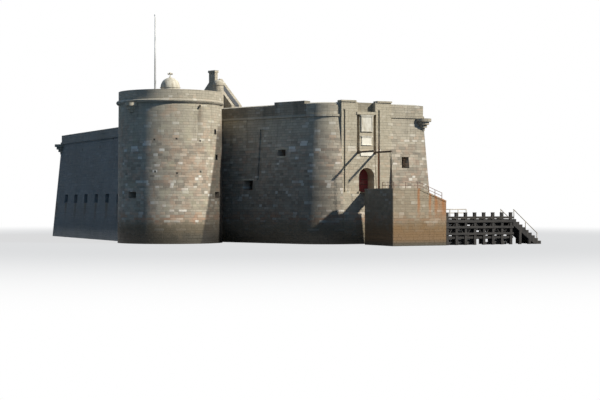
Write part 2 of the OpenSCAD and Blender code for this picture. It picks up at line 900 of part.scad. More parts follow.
// The roof house's own frame: x along the gable, y inwards from its outer face
module at_house() {
    on_wall(LEFT_FLANK) translate([-house_back, house_in, front_h + cordon_h]) children();
}

function gable(w, h, rise) = [[-w / 2, 0], [w / 2, 0], [w / 2, h], [0, h + rise], [-w / 2, h]];

module extrude_back(from, to) {
    translate([0, to, 0]) rotate([90, 0, 0]) linear_extrude(to - from) children();
}

module house_walls() {
    color(stone) at_house() difference() {
        union() {
            for (y = [0, house_d - house_t]) extrude_back(y, y + house_t)
                polygon(gable(house_w, house_wall_h + slate_t, house_rise + coping_up));
            for (x = [-house_w / 2, house_w / 2 - house_t]) translate([x, 0, 0])
                cube([house_t, house_d, house_wall_h]);
        }
        translate([-house_door_w / 2, house_d - house_t - past, -joint_gap])
            cube([house_door_w, house_t + 2 * past, house_door_h]);
        at_chimney() cube([chimney_w, house_t * 2, chimney_h]);
    }
}

// Foot of the chimney, inside the outer gable
module at_chimney() {
    translate([-chimney_w / 2, 0, house_wall_h + house_rise - chimney_w / 2]) children();
}

module house_roof() {
    eaves = house_wall_h + slate_t * 1.3;
    color("slategray") at_house() extrude_back(house_t, house_d - house_t)
        polygon([[-house_w / 2, house_wall_h], [0, house_wall_h + house_rise],
            [house_w / 2, house_wall_h], [house_w / 2, eaves], [0, eaves + house_rise],
            [-house_w / 2, eaves]]);
}

module chimney() {
    foot = house_wall_h + house_rise - chimney_w / 2;
    out = chimney_cap_out;
    color(stone) at_house() {
        at_chimney() cube([chimney_w, house_t, chimney_h - foot - chimney_cap_h]);
        translate([-chimney_w / 2 - out, -out, chimney_h - chimney_cap_h])
            cube([chimney_w + 2 * out, house_t + 2 * out, chimney_cap_h]);
    }
}

ledge_z = sill_z - ledge_drop;
gate_back = front_y + wall_t;
// Radius of the doors' pivots, and how far they stand beside the leaves' edge
knuckle_r = 14;
hinge_in = 20;
passage_half_w = door_w / 2 + leaf_lap + leaf_t + 4 * play + hinge_in;
hinge_x = door_w / 2 + leaf_lap + hinge_in;
hinge_y = reveal_d + play + leaf_t + knuckle_r;
leaf_r = door_w / 2 + leaf_lap;
passage_top = sill_z + door_spring + leaf_r + 5 * play;
// Width of the lugs that carry the deck's pins, and their room beside the deck
lug_w = 70;
lug_in = 40;

module gate_base() {
    lug_x = deck_half_w + lug_in + pin_gap;
    lug_y = deck_hinge_y + past;
    color(stone) {
        translate([-gate_half_w, front_y, 0]) rotate([90, 0, 90]) linear_extrude(2 * gate_half_w)
            polygon([[-foot_out, 0], [-face_out(ledge_z), ledge_z], [-front_y, ledge_z],
                [-front_y, sill_z], [wall_t, sill_z], [wall_t, 0]]);
        // Raised passage floor that slopes down to the court
        translate([-ramp_half_w, 0, 0]) rotate([90, 0, 90]) linear_extrude(2 * ramp_half_w)
            polygon([[gate_back, floor_z], [gate_back, sill_z], [ramp_flat, sill_z],
                [step_y - ramp_clear, floor_z]]);
        for (side = [0, 1]) mirror([side, 0, 0]) translate([lug_x, -lug_y, ledge_z])
            cube([lug_w, lug_y, sill_z - ledge_z + past]);
    }
}

// Upright grooves in the gate front
module gate_grooves() {
    for (x = [-groove_left, groove_right]) translate([x - groove_w / 2, -past, sill_z])
        cube([groove_w, past + groove_d, front_h + groove_up - sill_z]);
}

module gate_pier(side) {
    difference() {
        translate([side > 0 ? door_w / 2 : -gate_half_w, 0, sill_z])
            cube([gate_half_w - door_w / 2, gate_back, door_spring]);
        translate([-passage_half_w, reveal_d, sill_z - 1])
            cube([2 * passage_half_w, gate_back, door_spring + 2]);
        gate_grooves();
    }
}

module gate_wall_left() { color(stone) gate_pier(-1); }
module gate_wall_right() { color(stone) gate_pier(1); }

slot_foot = beam_z - beam_d / 2 - 10 * play;
slot_top = beam_z + beam_len + slot_w;

module gate_wall_over() {
    foot = sill_z + door_spring;
    color(stone) difference() {
        union() {
            translate([-gate_half_w, 0, foot]) cube([2 * gate_half_w, gate_back, front_h - foot]);
            translate([-gate_half_w, 0, front_h - 1])
                cube([2 * gate_half_w, front_y + parapet_t, gate_top_h + 1]);
            for (x = [-gate_half_w - cap_lip, gate_half_w - cap_w + cap_lip])
                translate([x, -cap_out, front_h + gate_top_h]) cube([cap_w, parapet_t, cap_h]);
            translate([-recess_half_w - cap_out, -recess_sill_out, recess_z - recess_sill_h])
                cube([2 * recess_half_w + 2 * cap_out, 2 * recess_sill_out, recess_sill_h]);
        }
        translate([0, reveal_d, foot]) rotate([90, 0, 0]) cylinder(h = 2 * reveal_d, d = door_w);
        translate([-passage_half_w, reveal_d, foot - 1])
            cube([2 * passage_half_w, gate_back, passage_top - foot + 1]);
        for (x = [-slot_x, slot_x]) translate([x - slot_w / 2, -past, slot_foot])
            cube([slot_w, slot_d + past, slot_top - slot_foot]);
        translate([-recess_half_w, -past * 2, recess_z])
            cube([2 * recess_half_w, recess_d + past * 2, front_h]);
        gate_grooves();
    }
}

// A plate on the gate front
module gate_plate(w, h, foot, proud) {
    translate([-w / 2, -proud, foot]) cube([w, proud, h]);
}

// Blank relief panel, bare tablet and blind block over the doorway
module gate_panels() {
    color("lightgray") {
        gate_plate(relief_w, relief_h, relief_z, 40);
        gate_plate(tablet_w, tablet_h, tablet_z, 25);
        gate_plate(block_w, block_h, block_z, 45);
    }
}

// One door leaf, hung at the right jamb and lying shut behind the reveal
module door_leaf() {
    foot = sill_z + play;
    back = hinge_y - knuckle_r;
    translate([0, back, 0]) rotate([90, 0, 0]) linear_extrude(leaf_t) intersection() {
        union() {
            translate([0, foot]) square([leaf_r, sill_z + door_spring - foot]);
            translate([0, sill_z + door_spring]) circle(r = leaf_r, $fn = 64);
        }
        translate([play / 2, foot]) square([leaf_r, 2 * leaf_r + door_spring]);
    }
    translate([hinge_x, hinge_y, sill_z + pin_gap])
        cylinder(h = door_spring - leaf_t, r = knuckle_r, $fn = 24);
    // Hinge straps on the back of the leaf
    for (z = [strap_low, door_spring - strap_high])
        translate([hinge_x - strap_len, back, sill_z + z]) cube([strap_len, strap_t, strap_w]);
}

module door_leaf_right() { color("firebrick") door_leaf(); }
module door_leaf_left() { color("firebrick") mirror([1, 0, 0]) door_leaf(); }

deck_z = sill_z - 20;
// Gap under the lowered deck where it lies on the pier
deck_seat = 0.3;
beam_x = slot_x + slot_w / 2 - 20 - beam_w / 2;
chain_x = slot_x - slot_w / 2 + 35;
chain_r = 10;
chain_pin_r = 12;
chain_ring_r = 28;
open_pin_gap = 5;
deck_pin_y = -deck_hinge_y - beam_len;
beam_pin_y = beam_pivot_y - beam_len;

// A round bar along x between two distances from the doorway's axis, on both sides
module side_pins(from, to, y, z, r) {
    for (side = [0, 1]) mirror([side, 0, 0]) translate([from, y, z]) rotate([0, 90, 0])
        cylinder(h = to - from, r = r, $fn = 24);
}

module drawbridge_deck() {
    color("saddlebrown") {
        translate([-deck_half_w, deck_pin_y - 70, deck_z - deck_t / 2])
            cube([2 * deck_half_w, beam_len + 70 + deck_t / 2, deck_t]);
        side_pins(deck_half_w - 10, deck_half_w + 40, -deck_hinge_y, deck_z, 22);
        side_pins(deck_half_w - 10, chain_x + 25, deck_pin_y, deck_z, chain_pin_r);
    }
}

module drawbridge_beams() {
    color("saddlebrown") for (side = [-1, 1])
        translate([side * beam_x - beam_w / 2, beam_pin_y - 60, beam_z - beam_d / 2])
            cube([beam_w, beam_len + 60 + beam_d / 2, beam_d]);
    color("saddlebrown") {
        side_pins(slot_x - slot_w / 2 + pin_gap, slot_x + slot_w / 2 - pin_gap, beam_pivot_y, beam_z, 22);
        side_pins(chain_x - 25, beam_x, beam_pin_y, beam_z, chain_pin_r);
    }
}

module drawbridge_chains() {
    lean = [deck_pin_y - beam_pin_y, deck_z - beam_z];
    size = norm(lean);
    color("dimgray") for (side = [-1, 1]) translate([side * chain_x, beam_pin_y, beam_z]) difference() {
        union() {
            rotate([atan2(lean.x, -lean.y), 0, 0]) translate([0, 0, chain_ring_r - 8 - size])
                cylinder(h = size - 2 * chain_ring_r + 16, r = chain_r, $fn = 24);
            for (p = [[0, 0], lean]) translate([-chain_r, p.x, p.y]) rotate([0, 90, 0])
                cylinder(h = 2 * chain_r, r = chain_ring_r, $fn = 32);
        }
        translate([-2 * chain_r, 0, 0]) rotate([0, 90, 0])
            cylinder(h = 4 * chain_r, r = chain_pin_r + pin_gap, $fn = 32);
        translate([-2 * chain_r, lean.x, lean.y]) rotate([0, 90, 0])
            cylinder(h = 4 * chain_r, r = chain_pin_r + open_pin_gap, $fn = 32);
    }
}

pier_z = deck_z - deck_t / 2 - deck_seat;
pier_front = -gap_w - pier_d;
stair_end_x = pier_right + stair_len;
kerb_top = pier_z + kerb_h;

module landing_pier() {
    color(stone) translate([-pier_left, pier_front, 0]) cube([pier_left + pier_right, pier_d, pier_z]);
}

module landing_stair() {
    rise = (pier_z - jetty_z) / stair_steps;
    tread = stair_len / stair_steps;
    steps = [for (k = [0 : stair_steps - 1]) each [[pier_right + k * tread, pier_z - (k + 1) * rise],
        [pier_right + (k + 1) * tread, pier_z - (k + 1) * rise]]];
    color(stone) extrude_back(pier_front + kerb_t, pier_front + kerb_t + stair_d)
        polygon(concat([[pier_right, 0]], steps, [[stair_end_x, 0]]));
}

// Upright outline of the front parapet and the stair's wall, in x and z
function front_wall_top(up) = [[pier_right, kerb_top + up], [stair_end_x, stair_wall_end + up]];

module landing_parapet() {
    under = kerb_top - coping_t;
    left = -pier_left - coping_lip;
    back_y = pier_front + kerb_t;
    size = pier_d - kerb_t;
    color(stone) {
        translate([-pier_left, back_y, pier_z]) cube([kerb_t, size, kerb_h - coping_t]);
        translate([left, back_y, under]) cube([kerb_t + 2 * coping_lip, size, coping_t]);
        extrude_back(pier_front, back_y)
            polygon(concat([[-pier_left, pier_z], [-pier_left, under]], front_wall_top(-coping_t),
                [[stair_end_x, 0], [pier_right, 0], [pier_right, pier_z]]));
        extrude_back(pier_front - coping_lip, back_y + coping_lip)
            polygon(concat([[left, under], [left, kerb_top]], front_wall_top(0),
                [[stair_end_x, stair_wall_end - coping_t], [pier_right, under]]));
    }
}

// A round bar between two points
module bar(p, q, r) {
    d = q - p;
    translate(p) rotate([0, acos(d.z / norm(d)), atan2(d.y, d.x)]) cylinder(h = norm(d), r = r, $fn = 8);
}

rail_y = pier_front + kerb_t / 2;
rail_x = -pier_left + kerb_t / 2;
rail_back_y = -gap_w - pier_d * 0.57;
level_posts = [rail_x, -115, pier_right - 55];
slope_posts = [1315, 1720, 2160];
function wall_top_at(x) = kerb_top - max(0, x - pier_right) / stair_len * (kerb_top - stair_wall_end);

// The room above the sloping coping, where a post stands on it
module above_coping() {
    extrude_back(pier_front, pier_front + kerb_t)
        polygon(concat(front_wall_top(joint_gap),
            [[stair_end_x, 2 * kerb_top], [pier_right, 2 * kerb_top]]));
}

// An upright post of the rail, whose head reaches the rail's middle
module rail_post(x, y, foot, head) {
    translate([x, y, foot]) cylinder(h = head - foot + rail_r / 2, r = rail_r, $fn = 8);
}

module landing_railing() {
    ends = [level_posts[0], pier_right, slope_posts[2]];
    color("gray") {
        for (x = level_posts) rail_post(x, rail_y, kerb_top, kerb_top + rail_h);
        for (x = slope_posts) intersection() {
            rail_post(x, rail_y, wall_top_at(x) - past, wall_top_at(x) + rail_h);
            above_coping();
        }
        for (y = [rail_back_y, (rail_back_y + rail_y) / 2])
            rail_post(rail_x, y, kerb_top, kerb_top + rail_h);
        for (up = [rail_h / 2, rail_h]) {
            for (k = [0, 1]) bar([ends[k], rail_y, wall_top_at(ends[k]) + up],
                [ends[k + 1], rail_y, wall_top_at(ends[k + 1]) + up], rail_r * 0.8);
            bar([rail_x, rail_back_y, kerb_top + up], [rail_x, rail_y, kerb_top + up], rail_r * 0.8);
        }
    }
}

jetty_front = pier_front + jetty_set;
jetty_end_x = stair_end_x + jetty_len;
jetty_foot_x = jetty_end_x + jetty_stair_len;
jetty_under = jetty_z - jetty_t;
pile_pitch = (jetty_len - 2 * pile_w) / (pile_rows - 1);
pile_first_x = stair_end_x + pile_w / 2;

module jetty_deck() {
    color("dimgray") translate([stair_end_x, jetty_front, jetty_under])
        cube([jetty_len, jetty_w, jetty_t]);
}

// The two rows of piles, each joined by walings and slanting braces
module jetty_piles() {
    color("dimgray") for (y = [jetty_front + pile_in, jetty_front + jetty_w - pile_w - pile_in]) {
        for (k = [0 : pile_rows - 1]) translate([pile_first_x + k * pile_pitch, y, 0])
            cube([pile_w, pile_w, jetty_under]);
        for (z = [waling_z, jetty_under - waling_drop]) translate([stair_end_x, y + pile_w / 4, z])
            cube([jetty_len, pile_w / 2, waling_d]);
        for (k = [0 : pile_rows - 2])
            brace(pile_first_x + pile_w / 2 + k * pile_pitch, y + pile_w / 2, k % 2);
    }
}

// A slanting brace between two piles
module brace(x, y, falling) {
    high = jetty_under - waling_d;
    bar([x, y, falling == 0 ? brace_z : high], [x + pile_pitch, y, falling == 0 ? high : brace_z],
        pile_w / 4);
}

module mooring_posts() {
    color("dimgray") for (k = [0 : pile_rows - 1])
        translate([pile_first_x + k * pile_pitch, jetty_front + pile_in, jetty_z])
            cube([pile_w, pile_w, bollard_h]);
}

module jetty_stair() {
    rise = jetty_z / (jetty_steps + 1);
    tread = jetty_stair_len / jetty_steps;
    head = jetty_z - 3 * rise;
    near = jetty_front + jetty_stair_in;
    far = jetty_front + jetty_w - jetty_stair_in;
    // Height of the stair's sloping underside
    function under(x) = head * (1 - (x - jetty_end_x) / (jetty_stair_len - 2 * tread));
    top = [for (k = [0 : jetty_steps - 1]) each [[jetty_end_x + k * tread, jetty_z - (k + 1) * rise],
        [jetty_end_x + (k + 1) * tread, jetty_z - (k + 1) * rise]]];
    color("dimgray") {
        extrude_back(near, far) polygon(concat([[jetty_end_x, head]], top,
            [[jetty_foot_x, 0], [jetty_foot_x - 2 * tread, 0]]));
        for (y = [near, far - pile_w], k = [2, 5]) {
            x = jetty_end_x + k * tread;
            extrude_back(y, y + pile_w)
                polygon([[x, 0], [x, under(x) + past], [x + pile_w, under(x + pile_w) + past],
                    [x + pile_w, 0]]);
        }
    }
}

left_wall();
corner_walls();
left_flank_wall();
front_right_wall();
right_flank_wall();
right_wall();
back_wall();
corner_parapets();
left_flank_parapet();
right_flank_parapet();
rear_parapet();
front_terrace();
rear_terrace();
ground_floor();
court_front_wall();
court_side_walls();
court_back_wall();
corner_corbels();
tower_wall_inner_right();
tower_wall_inner_left();
tower_wall_outer_left();
tower_wall_outer_right();
tower_floors();
tower_roof();
tower_parapet();
tower_corbel();
stair_turret();
corner_turret();
flagpole();
house_walls();
house_roof();
chimney();
gate_base();
gate_wall_left();
gate_wall_right();
gate_wall_over();
gate_panels();
door_leaf_left();
door_leaf_right();
drawbridge_deck();
drawbridge_beams();
drawbridge_chains();
landing_pier();
landing_parapet();
landing_stair();
landing_railing();
jetty_deck();
jetty_piles();
jetty_stair();
mooring_posts();
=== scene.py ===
import bpy
import numpy as np
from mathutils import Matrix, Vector

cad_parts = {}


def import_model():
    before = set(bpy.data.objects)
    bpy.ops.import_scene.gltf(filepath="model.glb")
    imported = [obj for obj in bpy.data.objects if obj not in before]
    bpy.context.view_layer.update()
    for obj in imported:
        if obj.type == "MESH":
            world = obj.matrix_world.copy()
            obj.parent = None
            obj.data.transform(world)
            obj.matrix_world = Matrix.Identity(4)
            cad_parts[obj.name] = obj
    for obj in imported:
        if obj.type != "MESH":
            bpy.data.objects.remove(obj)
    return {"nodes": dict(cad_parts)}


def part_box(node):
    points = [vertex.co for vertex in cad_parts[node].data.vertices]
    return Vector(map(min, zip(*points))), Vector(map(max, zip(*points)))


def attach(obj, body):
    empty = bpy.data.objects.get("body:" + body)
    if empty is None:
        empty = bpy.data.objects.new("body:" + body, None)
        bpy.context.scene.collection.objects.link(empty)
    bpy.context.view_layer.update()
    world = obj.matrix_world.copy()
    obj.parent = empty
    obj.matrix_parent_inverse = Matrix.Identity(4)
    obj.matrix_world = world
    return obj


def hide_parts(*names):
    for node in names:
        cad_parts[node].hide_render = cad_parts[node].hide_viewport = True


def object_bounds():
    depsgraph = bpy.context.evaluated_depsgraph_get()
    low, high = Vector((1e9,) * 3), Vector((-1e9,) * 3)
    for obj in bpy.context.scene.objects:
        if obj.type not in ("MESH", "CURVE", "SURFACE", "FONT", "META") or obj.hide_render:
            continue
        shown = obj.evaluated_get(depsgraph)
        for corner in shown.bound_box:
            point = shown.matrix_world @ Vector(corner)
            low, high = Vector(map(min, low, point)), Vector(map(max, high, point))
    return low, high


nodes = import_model()["nodes"]
solid_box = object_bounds()

# The view: a camera low and far off, left of the gate, and one low sun from the right of
# it. The fort is a half-size model, and the camera's distance is halved with it.
camera_place = (-38.125, -69.525, 2.35)
camera_turn = 26.0
photo_width = 600
lens_pixels = 1392.0
horizon_drop = 2.4
sensor_width = 36.0
sight_limit = 1000.0
towards_sun = Vector((0.561, -0.623, 0.545))
sun_strength = 5.4
sun_colour = (1.0, 0.957, 0.860)
sun_width = 2.0

camera = bpy.data.cameras.new("camera")
camera.sensor_width = sensor_width
camera.lens = lens_pixels / photo_width * sensor_width
camera.shift_y = horizon_drop / photo_width
camera.clip_end = sight_limit
camera_object = bpy.data.objects.new("camera", camera)
camera_object.location = camera_place
camera_object.rotation_euler = (np.radians(90.0), 0.0, np.radians(-camera_turn))
bpy.context.scene.collection.objects.link(camera_object)
bpy.context.scene.camera = camera_object
bpy.context.scene.view_settings.view_transform = "Standard"

sun = bpy.data.lights.new("sun", "SUN")
sun.energy = sun_strength
sun.angle = np.radians(sun_width)
sun.color = sun_colour
sun_object = bpy.data.objects.new("sun", sun)
sun_object.rotation_euler = towards_sun.to_track_quat("Z", "Y").to_euler()
bpy.context.scene.collection.objects.link(sun_object)


# The curtain walls: granite blocks laid in courses, on a slope that leans inwards. The
# blocks are warm grey, tan, pink and pale, and the tide has browned their lower courses.
# Their colour is worked out from the place on the wall, by arithmetic on fields.
course_height = 0.150
block_length = 0.33
corner_centre = (-1.610, 1.895)
corner_radius = 1.745
flank_along = (0.3799, -0.9250)
flank_out = (-0.9250, -0.3799)
neck_end_x = -4.5
block_tones = [
    (0.0, (0.235, 0.205, 0.160)),
    (0.15, (0.300, 0.262, 0.205)),
    (0.5, (0.375, 0.330, 0.258)),
    (0.8, (0.430, 0.378, 0.295)),
    (0.86, (0.445, 0.330, 0.240)),
    (0.92, (0.520, 0.470, 0.385)),
    (0.97, (0.680, 0.640, 0.560)),
]
high_stone = (0.400, 0.355, 0.270)
pink_stone = (0.400, 0.265, 0.185)
mortar = (0.200, 0.175, 0.138)
rust_stone = (0.330, 0.160, 0.080)
tide_brown = (0.170, 0.130, 0.075)
tide_dark = (0.045, 0.038, 0.022)
# The dark that is painted as shade where small holes stand.
hole_shade = (0.012, 0.010, 0.008)
# Heights in metres: where the blocks grow more alike, where they rust, and where the brown,
# the darkness and the damp of the walls' foot end.
calm_from, calm_to = 6.2, 7.6
rust_top, rust_foot = 2.0, 1.1
tide_top = 1.55
dark_top = 0.95
wet_top = 0.9


class Field:
    """A value, vector or colour that varies over a surface, with a shader tree's arithmetic."""

    def __init__(self, socket):
        self.socket = socket
        self.tree = socket.id_data

    def __add__(self, other):
        return reckon("ADD", self, other)

    def __sub__(self, other):
        return reckon("SUBTRACT", self, other)

    def __rsub__(self, other):
        return reckon("SUBTRACT", other, self)

    def __mul__(self, other):
        return reckon("MULTIPLY", self, other)

    def __truediv__(self, other):
        return reckon("DIVIDE", self, other)

    def __abs__(self):
        return reckon("ABSOLUTE", self)

    __radd__ = __add__
    __rmul__ = __mul__


def tree_of(*terms):
    """The shader tree that the first field among the terms belongs to."""
    return next(term.tree for term in terms if isinstance(term, Field))


def fill(slot, value):
    """Links a field to a socket, or sets the socket to a plain number, vector or colour."""
    if isinstance(value, Field):
        value.tree.links.new(value.socket, slot)
    elif slot.type == "RGBA":
        slot.default_value = (*value[:3], 1.0)
    else:
        slot.default_value = value


def reckon(kind, *terms):
    """One step of arithmetic on fields and numbers."""
    step = tree_of(*terms).nodes.new("ShaderNodeMath")
    step.operation = kind
    for slot, term in zip(step.inputs, terms):
        fill(slot, term)
    return Field(step.outputs[0])


def smooth(value, low, high):
    """0 below low, 1 above high, and an S curve between; falling where low is above high."""
    step = tree_of(value).nodes.new("ShaderNodeMapRange")
    step.interpolation_type = "SMOOTHSTEP"
    rising = low < high
    terms = (value, min(low, high), max(low, high), 1 - rising, int(rising))
    for slot, term in zip(step.inputs, terms):
        fill(slot, term)
    return Field(step.outputs[0])


def blend(amount, first, second):
    """The first colour where amount is 0, the second where it is 1."""
    step = tree_of(amount, first, second).nodes.new("ShaderNodeMix")
    step.data_type = "RGBA"
    for slot, term in ((0, amount), (6, first), (7, second)):
        fill(step.inputs[slot], term)
    return Field(step.outputs[2])


def scaled(colour, amount):
    """A colour or vector times a number."""
    step = tree_of(colour, amount).nodes.new("ShaderNodeVectorMath")
    step.operation = "SCALE"
    fill(step.inputs[0], colour)
    fill(step.inputs["Scale"], amount)
    return Field(step.outputs[0])


def spread(vector):
    """The three parts of a vector."""
    step = vector.tree.nodes.new("ShaderNodeSeparateXYZ")
    fill(step.inputs[0], vector)
    return [Field(part) for part in step.outputs]


def joined(*parts):
    """A vector from three parts."""
    step = tree_of(*parts).nodes.new("ShaderNodeCombineXYZ")
    for slot, part in zip(step.inputs, parts):
        fill(slot, part)
    return Field(step.outputs[0])


def cloudy(where, scale, detail=4.0, coarse=0.55):
    """Soft noise from 0 to 1, with that many patches to the metre."""
    step = where.tree.nodes.new("ShaderNodeTexNoise")
    fill(step.inputs["Vector"], where)
    fill(step.inputs["Scale"], scale)
    fill(step.inputs["Detail"], detail)
    fill(step.inputs["Roughness"], coarse)
    return Field(step.outputs[0])


def chance(first, second):
    """An even random number for each pair of whole numbers."""
    step = tree_of(first, second).nodes.new("ShaderNodeTexWhiteNoise")
    step.noise_dimensions = "2D"
    fill(step.inputs["Vector"], joined(first, second, 0.0))
    return Field(step.outputs["Value"])


def colours_of(amount, stops):
    """A colour from a list of (place, colour), read at amount."""
    step = amount.tree.nodes.new("ShaderNodeValToRGB")
    fill(step.inputs[0], amount)
    elements = step.color_ramp.elements
    elements[1].position = stops[-1][0]
    elements[0].position = stops[0][0]
    for place, _ in stops[1:-1]:
        elements.new(place)
    for element, (_, colour) in zip(elements, stops):
        element.color = (*colour, 1.0)
    return Field(step.outputs[0])


def shared_effect(name, inputs, outputs, rule):
    """A shader group, whose rule turns its input fields into its output fields."""
    group = bpy.data.node_groups.new(name, "ShaderNodeTree")
    for label, kind in inputs:
        group.interface.new_socket(label, in_out="INPUT", socket_type="NodeSocket" + kind)
    for label, kind in outputs:
        group.interface.new_socket(label, in_out="OUTPUT", socket_type="NodeSocket" + kind)
    entry = group.nodes.new("NodeGroupInput")
    leave = group.nodes.new("NodeGroupOutput")
    results = rule(*[Field(socket) for socket, _ in zip(entry.outputs, inputs)])
    for slot, result in zip(leave.inputs, results):
        fill(slot, result)
    return group


def placed(group, *values):
    """The outputs of a shader group, placed in the material that the values belong to."""
    step = tree_of(*values).nodes.new("ShaderNodeGroup")
    step.node_tree = group
    for slot, value in zip(step.inputs, values):
        fill(slot, value)
    return [Field(socket) for socket in step.outputs]


def new_finish(name):
    """A material, its shader and the place on the object."""
    finish = bpy.data.materials.new(name)
    finish.use_nodes = True
    shader = finish.node_tree.nodes["Principled BSDF"]
    where = Field(finish.node_tree.nodes.new("ShaderNodeTexCoord").outputs["Object"])
    return finish, shader, where


def facing_in(finish):
    """The way that a material's faces point, without their relief."""
    return Field(finish.node_tree.nodes.new("ShaderNodeNewGeometry").outputs["True Normal"])


def coat(shader, colour, rough, height=None, depth=0.0, strength=0.0):
    """Feeds a shader its colour and roughness and, where a height is given, the normal of a
    surface whose relief is height times depth."""
    fill(shader.inputs["Base Color"], colour)
    fill(shader.inputs["Roughness"], rough)
    if height:
        bump = height.tree.nodes.new("ShaderNodeBump")
        for label, value in (("Height", height), ("Distance", depth), ("Strength", strength)):
            fill(bump.inputs[label], value)
        fill(shader.inputs["Normal"], Field(bump.outputs[0]))


def dress(node_names, finish):
    """Gives CAD nodes one finish."""
    for name in node_names:
        nodes[name].data.materials.clear()
        nodes[name].data.materials.append(finish)


def is_level(facing):
    """1 on faces that are more level than upright, else 0."""
    return reckon("GREATER_THAN", abs(spread(facing)[2]), 0.7)


def wall_run(where, facing):
    """Along a flat wall and up it: the place times the level direction square to the face.
    On level faces it is x and y."""
    x, y, z = spread(where)
    fx, fy, _ = spread(facing)
    size = reckon("SQRT", fx * fx + fy * fy + 0.0001)
    level = is_level(facing)
    along = (y * fx - x * fy) / size
    return [joined(along + level * (x - along), z + level * (y - z), level)]


def turning_run(where, facing):
    """Along the left flank and round its front corner: the distance along the flank up to
    the corner, then the corner's radius times the angle turned."""
    x, y, z = spread(where)
    dx = x - corner_centre[0]
    dy = y - corner_centre[1]
    ahead = dx * flank_along[0] + dy * flank_along[1]
    outward = dx * flank_out[0] + dy * flank_out[1]
    angle = reckon("ARCTAN2", ahead, outward)
    along = reckon("MINIMUM", ahead, 0.0) + reckon("MAXIMUM", angle, 0.0) * corner_radius
    level = is_level(facing)
    return [joined(along, z + level * (outward - z), level)]


def corner_or_neck(where, facing):
    """Round the front corner, but straight along the short wall far left of it."""
    beside = reckon("LESS_THAN", spread(where)[0], neck_end_x)
    return [blend(beside, turning_run(where, facing)[0], wall_run(where, facing)[0])]


def courses(run, course, length):
    """Blocks laid in courses: course heights swell and shrink by two sines, each course is
    shifted and stretched by its own random number, and the block edges give the joints."""
    u, v, _ = spread(run)
    v = v + reckon("SINE", v * 9.7) * 0.016 + reckon("SINE", v * 23.1) * 0.006
    v = v / course
    row = reckon("FLOOR", v)
    shift = chance(row, 7.0)
    u = u / length * (shift * 0.5 + 0.75) + shift * 37.0
    u = u + reckon("SINE", u * 2.3 + shift * 50.0) * 0.2
    column = reckon("FLOOR", u)
    u_part = u - column
    v_part = v - row
    side_gap = reckon("MINIMUM", u_part, 1.0 - u_part) * length
    bed_gap = reckon("MINIMUM", v_part, 1.0 - v_part) * course
    joint = smooth(reckon("MINIMUM", side_gap, bed_gap), 0.011, 0.002)
    return [joint, chance(column, row), chance(row + 311.0, column)]


def granite(run, where):
    """Granite face: a colour for each block, speckled, with darker joints, faint rain
    streaks down the wall, and a brown tidal zone at its foot."""
    joint, tone, other = placed(block_courses, run, course_height, block_length)
    z = spread(where)[2]
    u, v, _ = spread(run)
    broad = cloudy(where, 0.45, 3.0)
    mid = cloudy(where, 2.2, 4.0)
    grain = cloudy(where, 55.0, 3.0, 0.7)
    stone = colours_of(tone, block_tones)
    calm = smooth(z + broad * 1.6, calm_from, calm_to)
    stone = blend(calm * 0.6, stone, high_stone)
    warm = smooth(mid + other * 0.25, 0.58, 0.85) * (1.0 - calm)
    stone = blend(warm * 0.42, stone, pink_stone)
    stone = scaled(stone, broad * 0.56 + 0.72)
    stone = scaled(stone, grain * 0.34 + 0.83)
    streak = cloudy(joined(u * 3.2, v * 0.22, 0.0), 1.0, 5.0, 0.65)
    stone = scaled(stone, 1.0 - smooth(streak, 0.5, 0.78) * 0.36)
    stone = blend(joint * 0.62, stone, mortar)
    ragged = z + (mid - 0.5) * 0.9 + (streak - 0.5) * 0.5
    rusty = smooth(ragged, rust_top, rust_top - 0.4) * smooth(ragged, rust_foot, rust_foot + 0.3)
    rusty = rusty * smooth(other, 0.2, 0.9)
    stone = blend(rusty * 0.45, stone, rust_stone)
    stone = blend(smooth(ragged, tide_top, tide_top - 0.6) * 0.75, stone, tide_brown)
    stone = blend(smooth(ragged, dark_top, dark_top - 0.7) * 0.85, stone, tide_dark)
    height = tone * 0.35 + (1.0 - joint) * 0.75 + grain * 0.28 + mid * 0.2
    rough = 0.93 - smooth(ragged, wet_top, wet_top - 0.7) * 0.3 - grain * 0.1
    return [stone, rough, height]


def granite_finish(name, run_group, tint=None):
    """Granite in courses along one kind of run. tint changes the colour from place and run."""
    finish, shader, where = new_finish(name)
    run = placed(run_group, where, facing_in(finish))[0]
    colour, rough, height = placed(granite_face, run, where)
    if tint:
        colour = tint(colour, where, run)
    coat(shader, colour, rough, height, 0.02, 0.75)
    return finish


block_courses = shared_effect(
    "block_courses",
    [("Run", "Vector"), ("Course", "Float"), ("Length", "Float")],
    [("Joint", "Float"), ("Tone", "Float"), ("Other", "Float")],
    courses,
)
granite_face = shared_effect(
    "granite_face",
    [("Run", "Vector"), ("Where", "Vector")],
    [("Colour", "Color"), ("Roughness", "Float"), ("Height", "Float")],
    granite,
)
place_and_facing = [("Where", "Vector"), ("Facing", "Vector")]
run_only = [("Run", "Vector")]
straight_run = shared_effect("straight_run", place_and_facing, run_only, wall_run)
corner_run = shared_effect("corner_run", place_and_facing, run_only, turning_run)
two_runs = shared_effect("two_runs", place_and_facing, run_only, corner_or_neck)

port_first = 11.75
port_pitch = 2.21
port_foot = 2.33
stain_foot = 0.8
vent_places = [(20.0, 5.85), (16.2, 5.90), (13.6, 6.35)]
vent_side, vent_end = (0.10, 0.08), (0.085, 0.07)
# The blue-grey of the painted shade on the sheltered side.
shade_veil_tones = [(0.3, (0.088, 0.112, 0.122)), (0.7, (0.155, 0.182, 0.190))]


def shade_veil(where):
    """Painted shade: an even blue-grey over the sheltered side's blocks."""
    return colours_of(cloudy(where, 0.6, 4.0), shade_veil_tones)


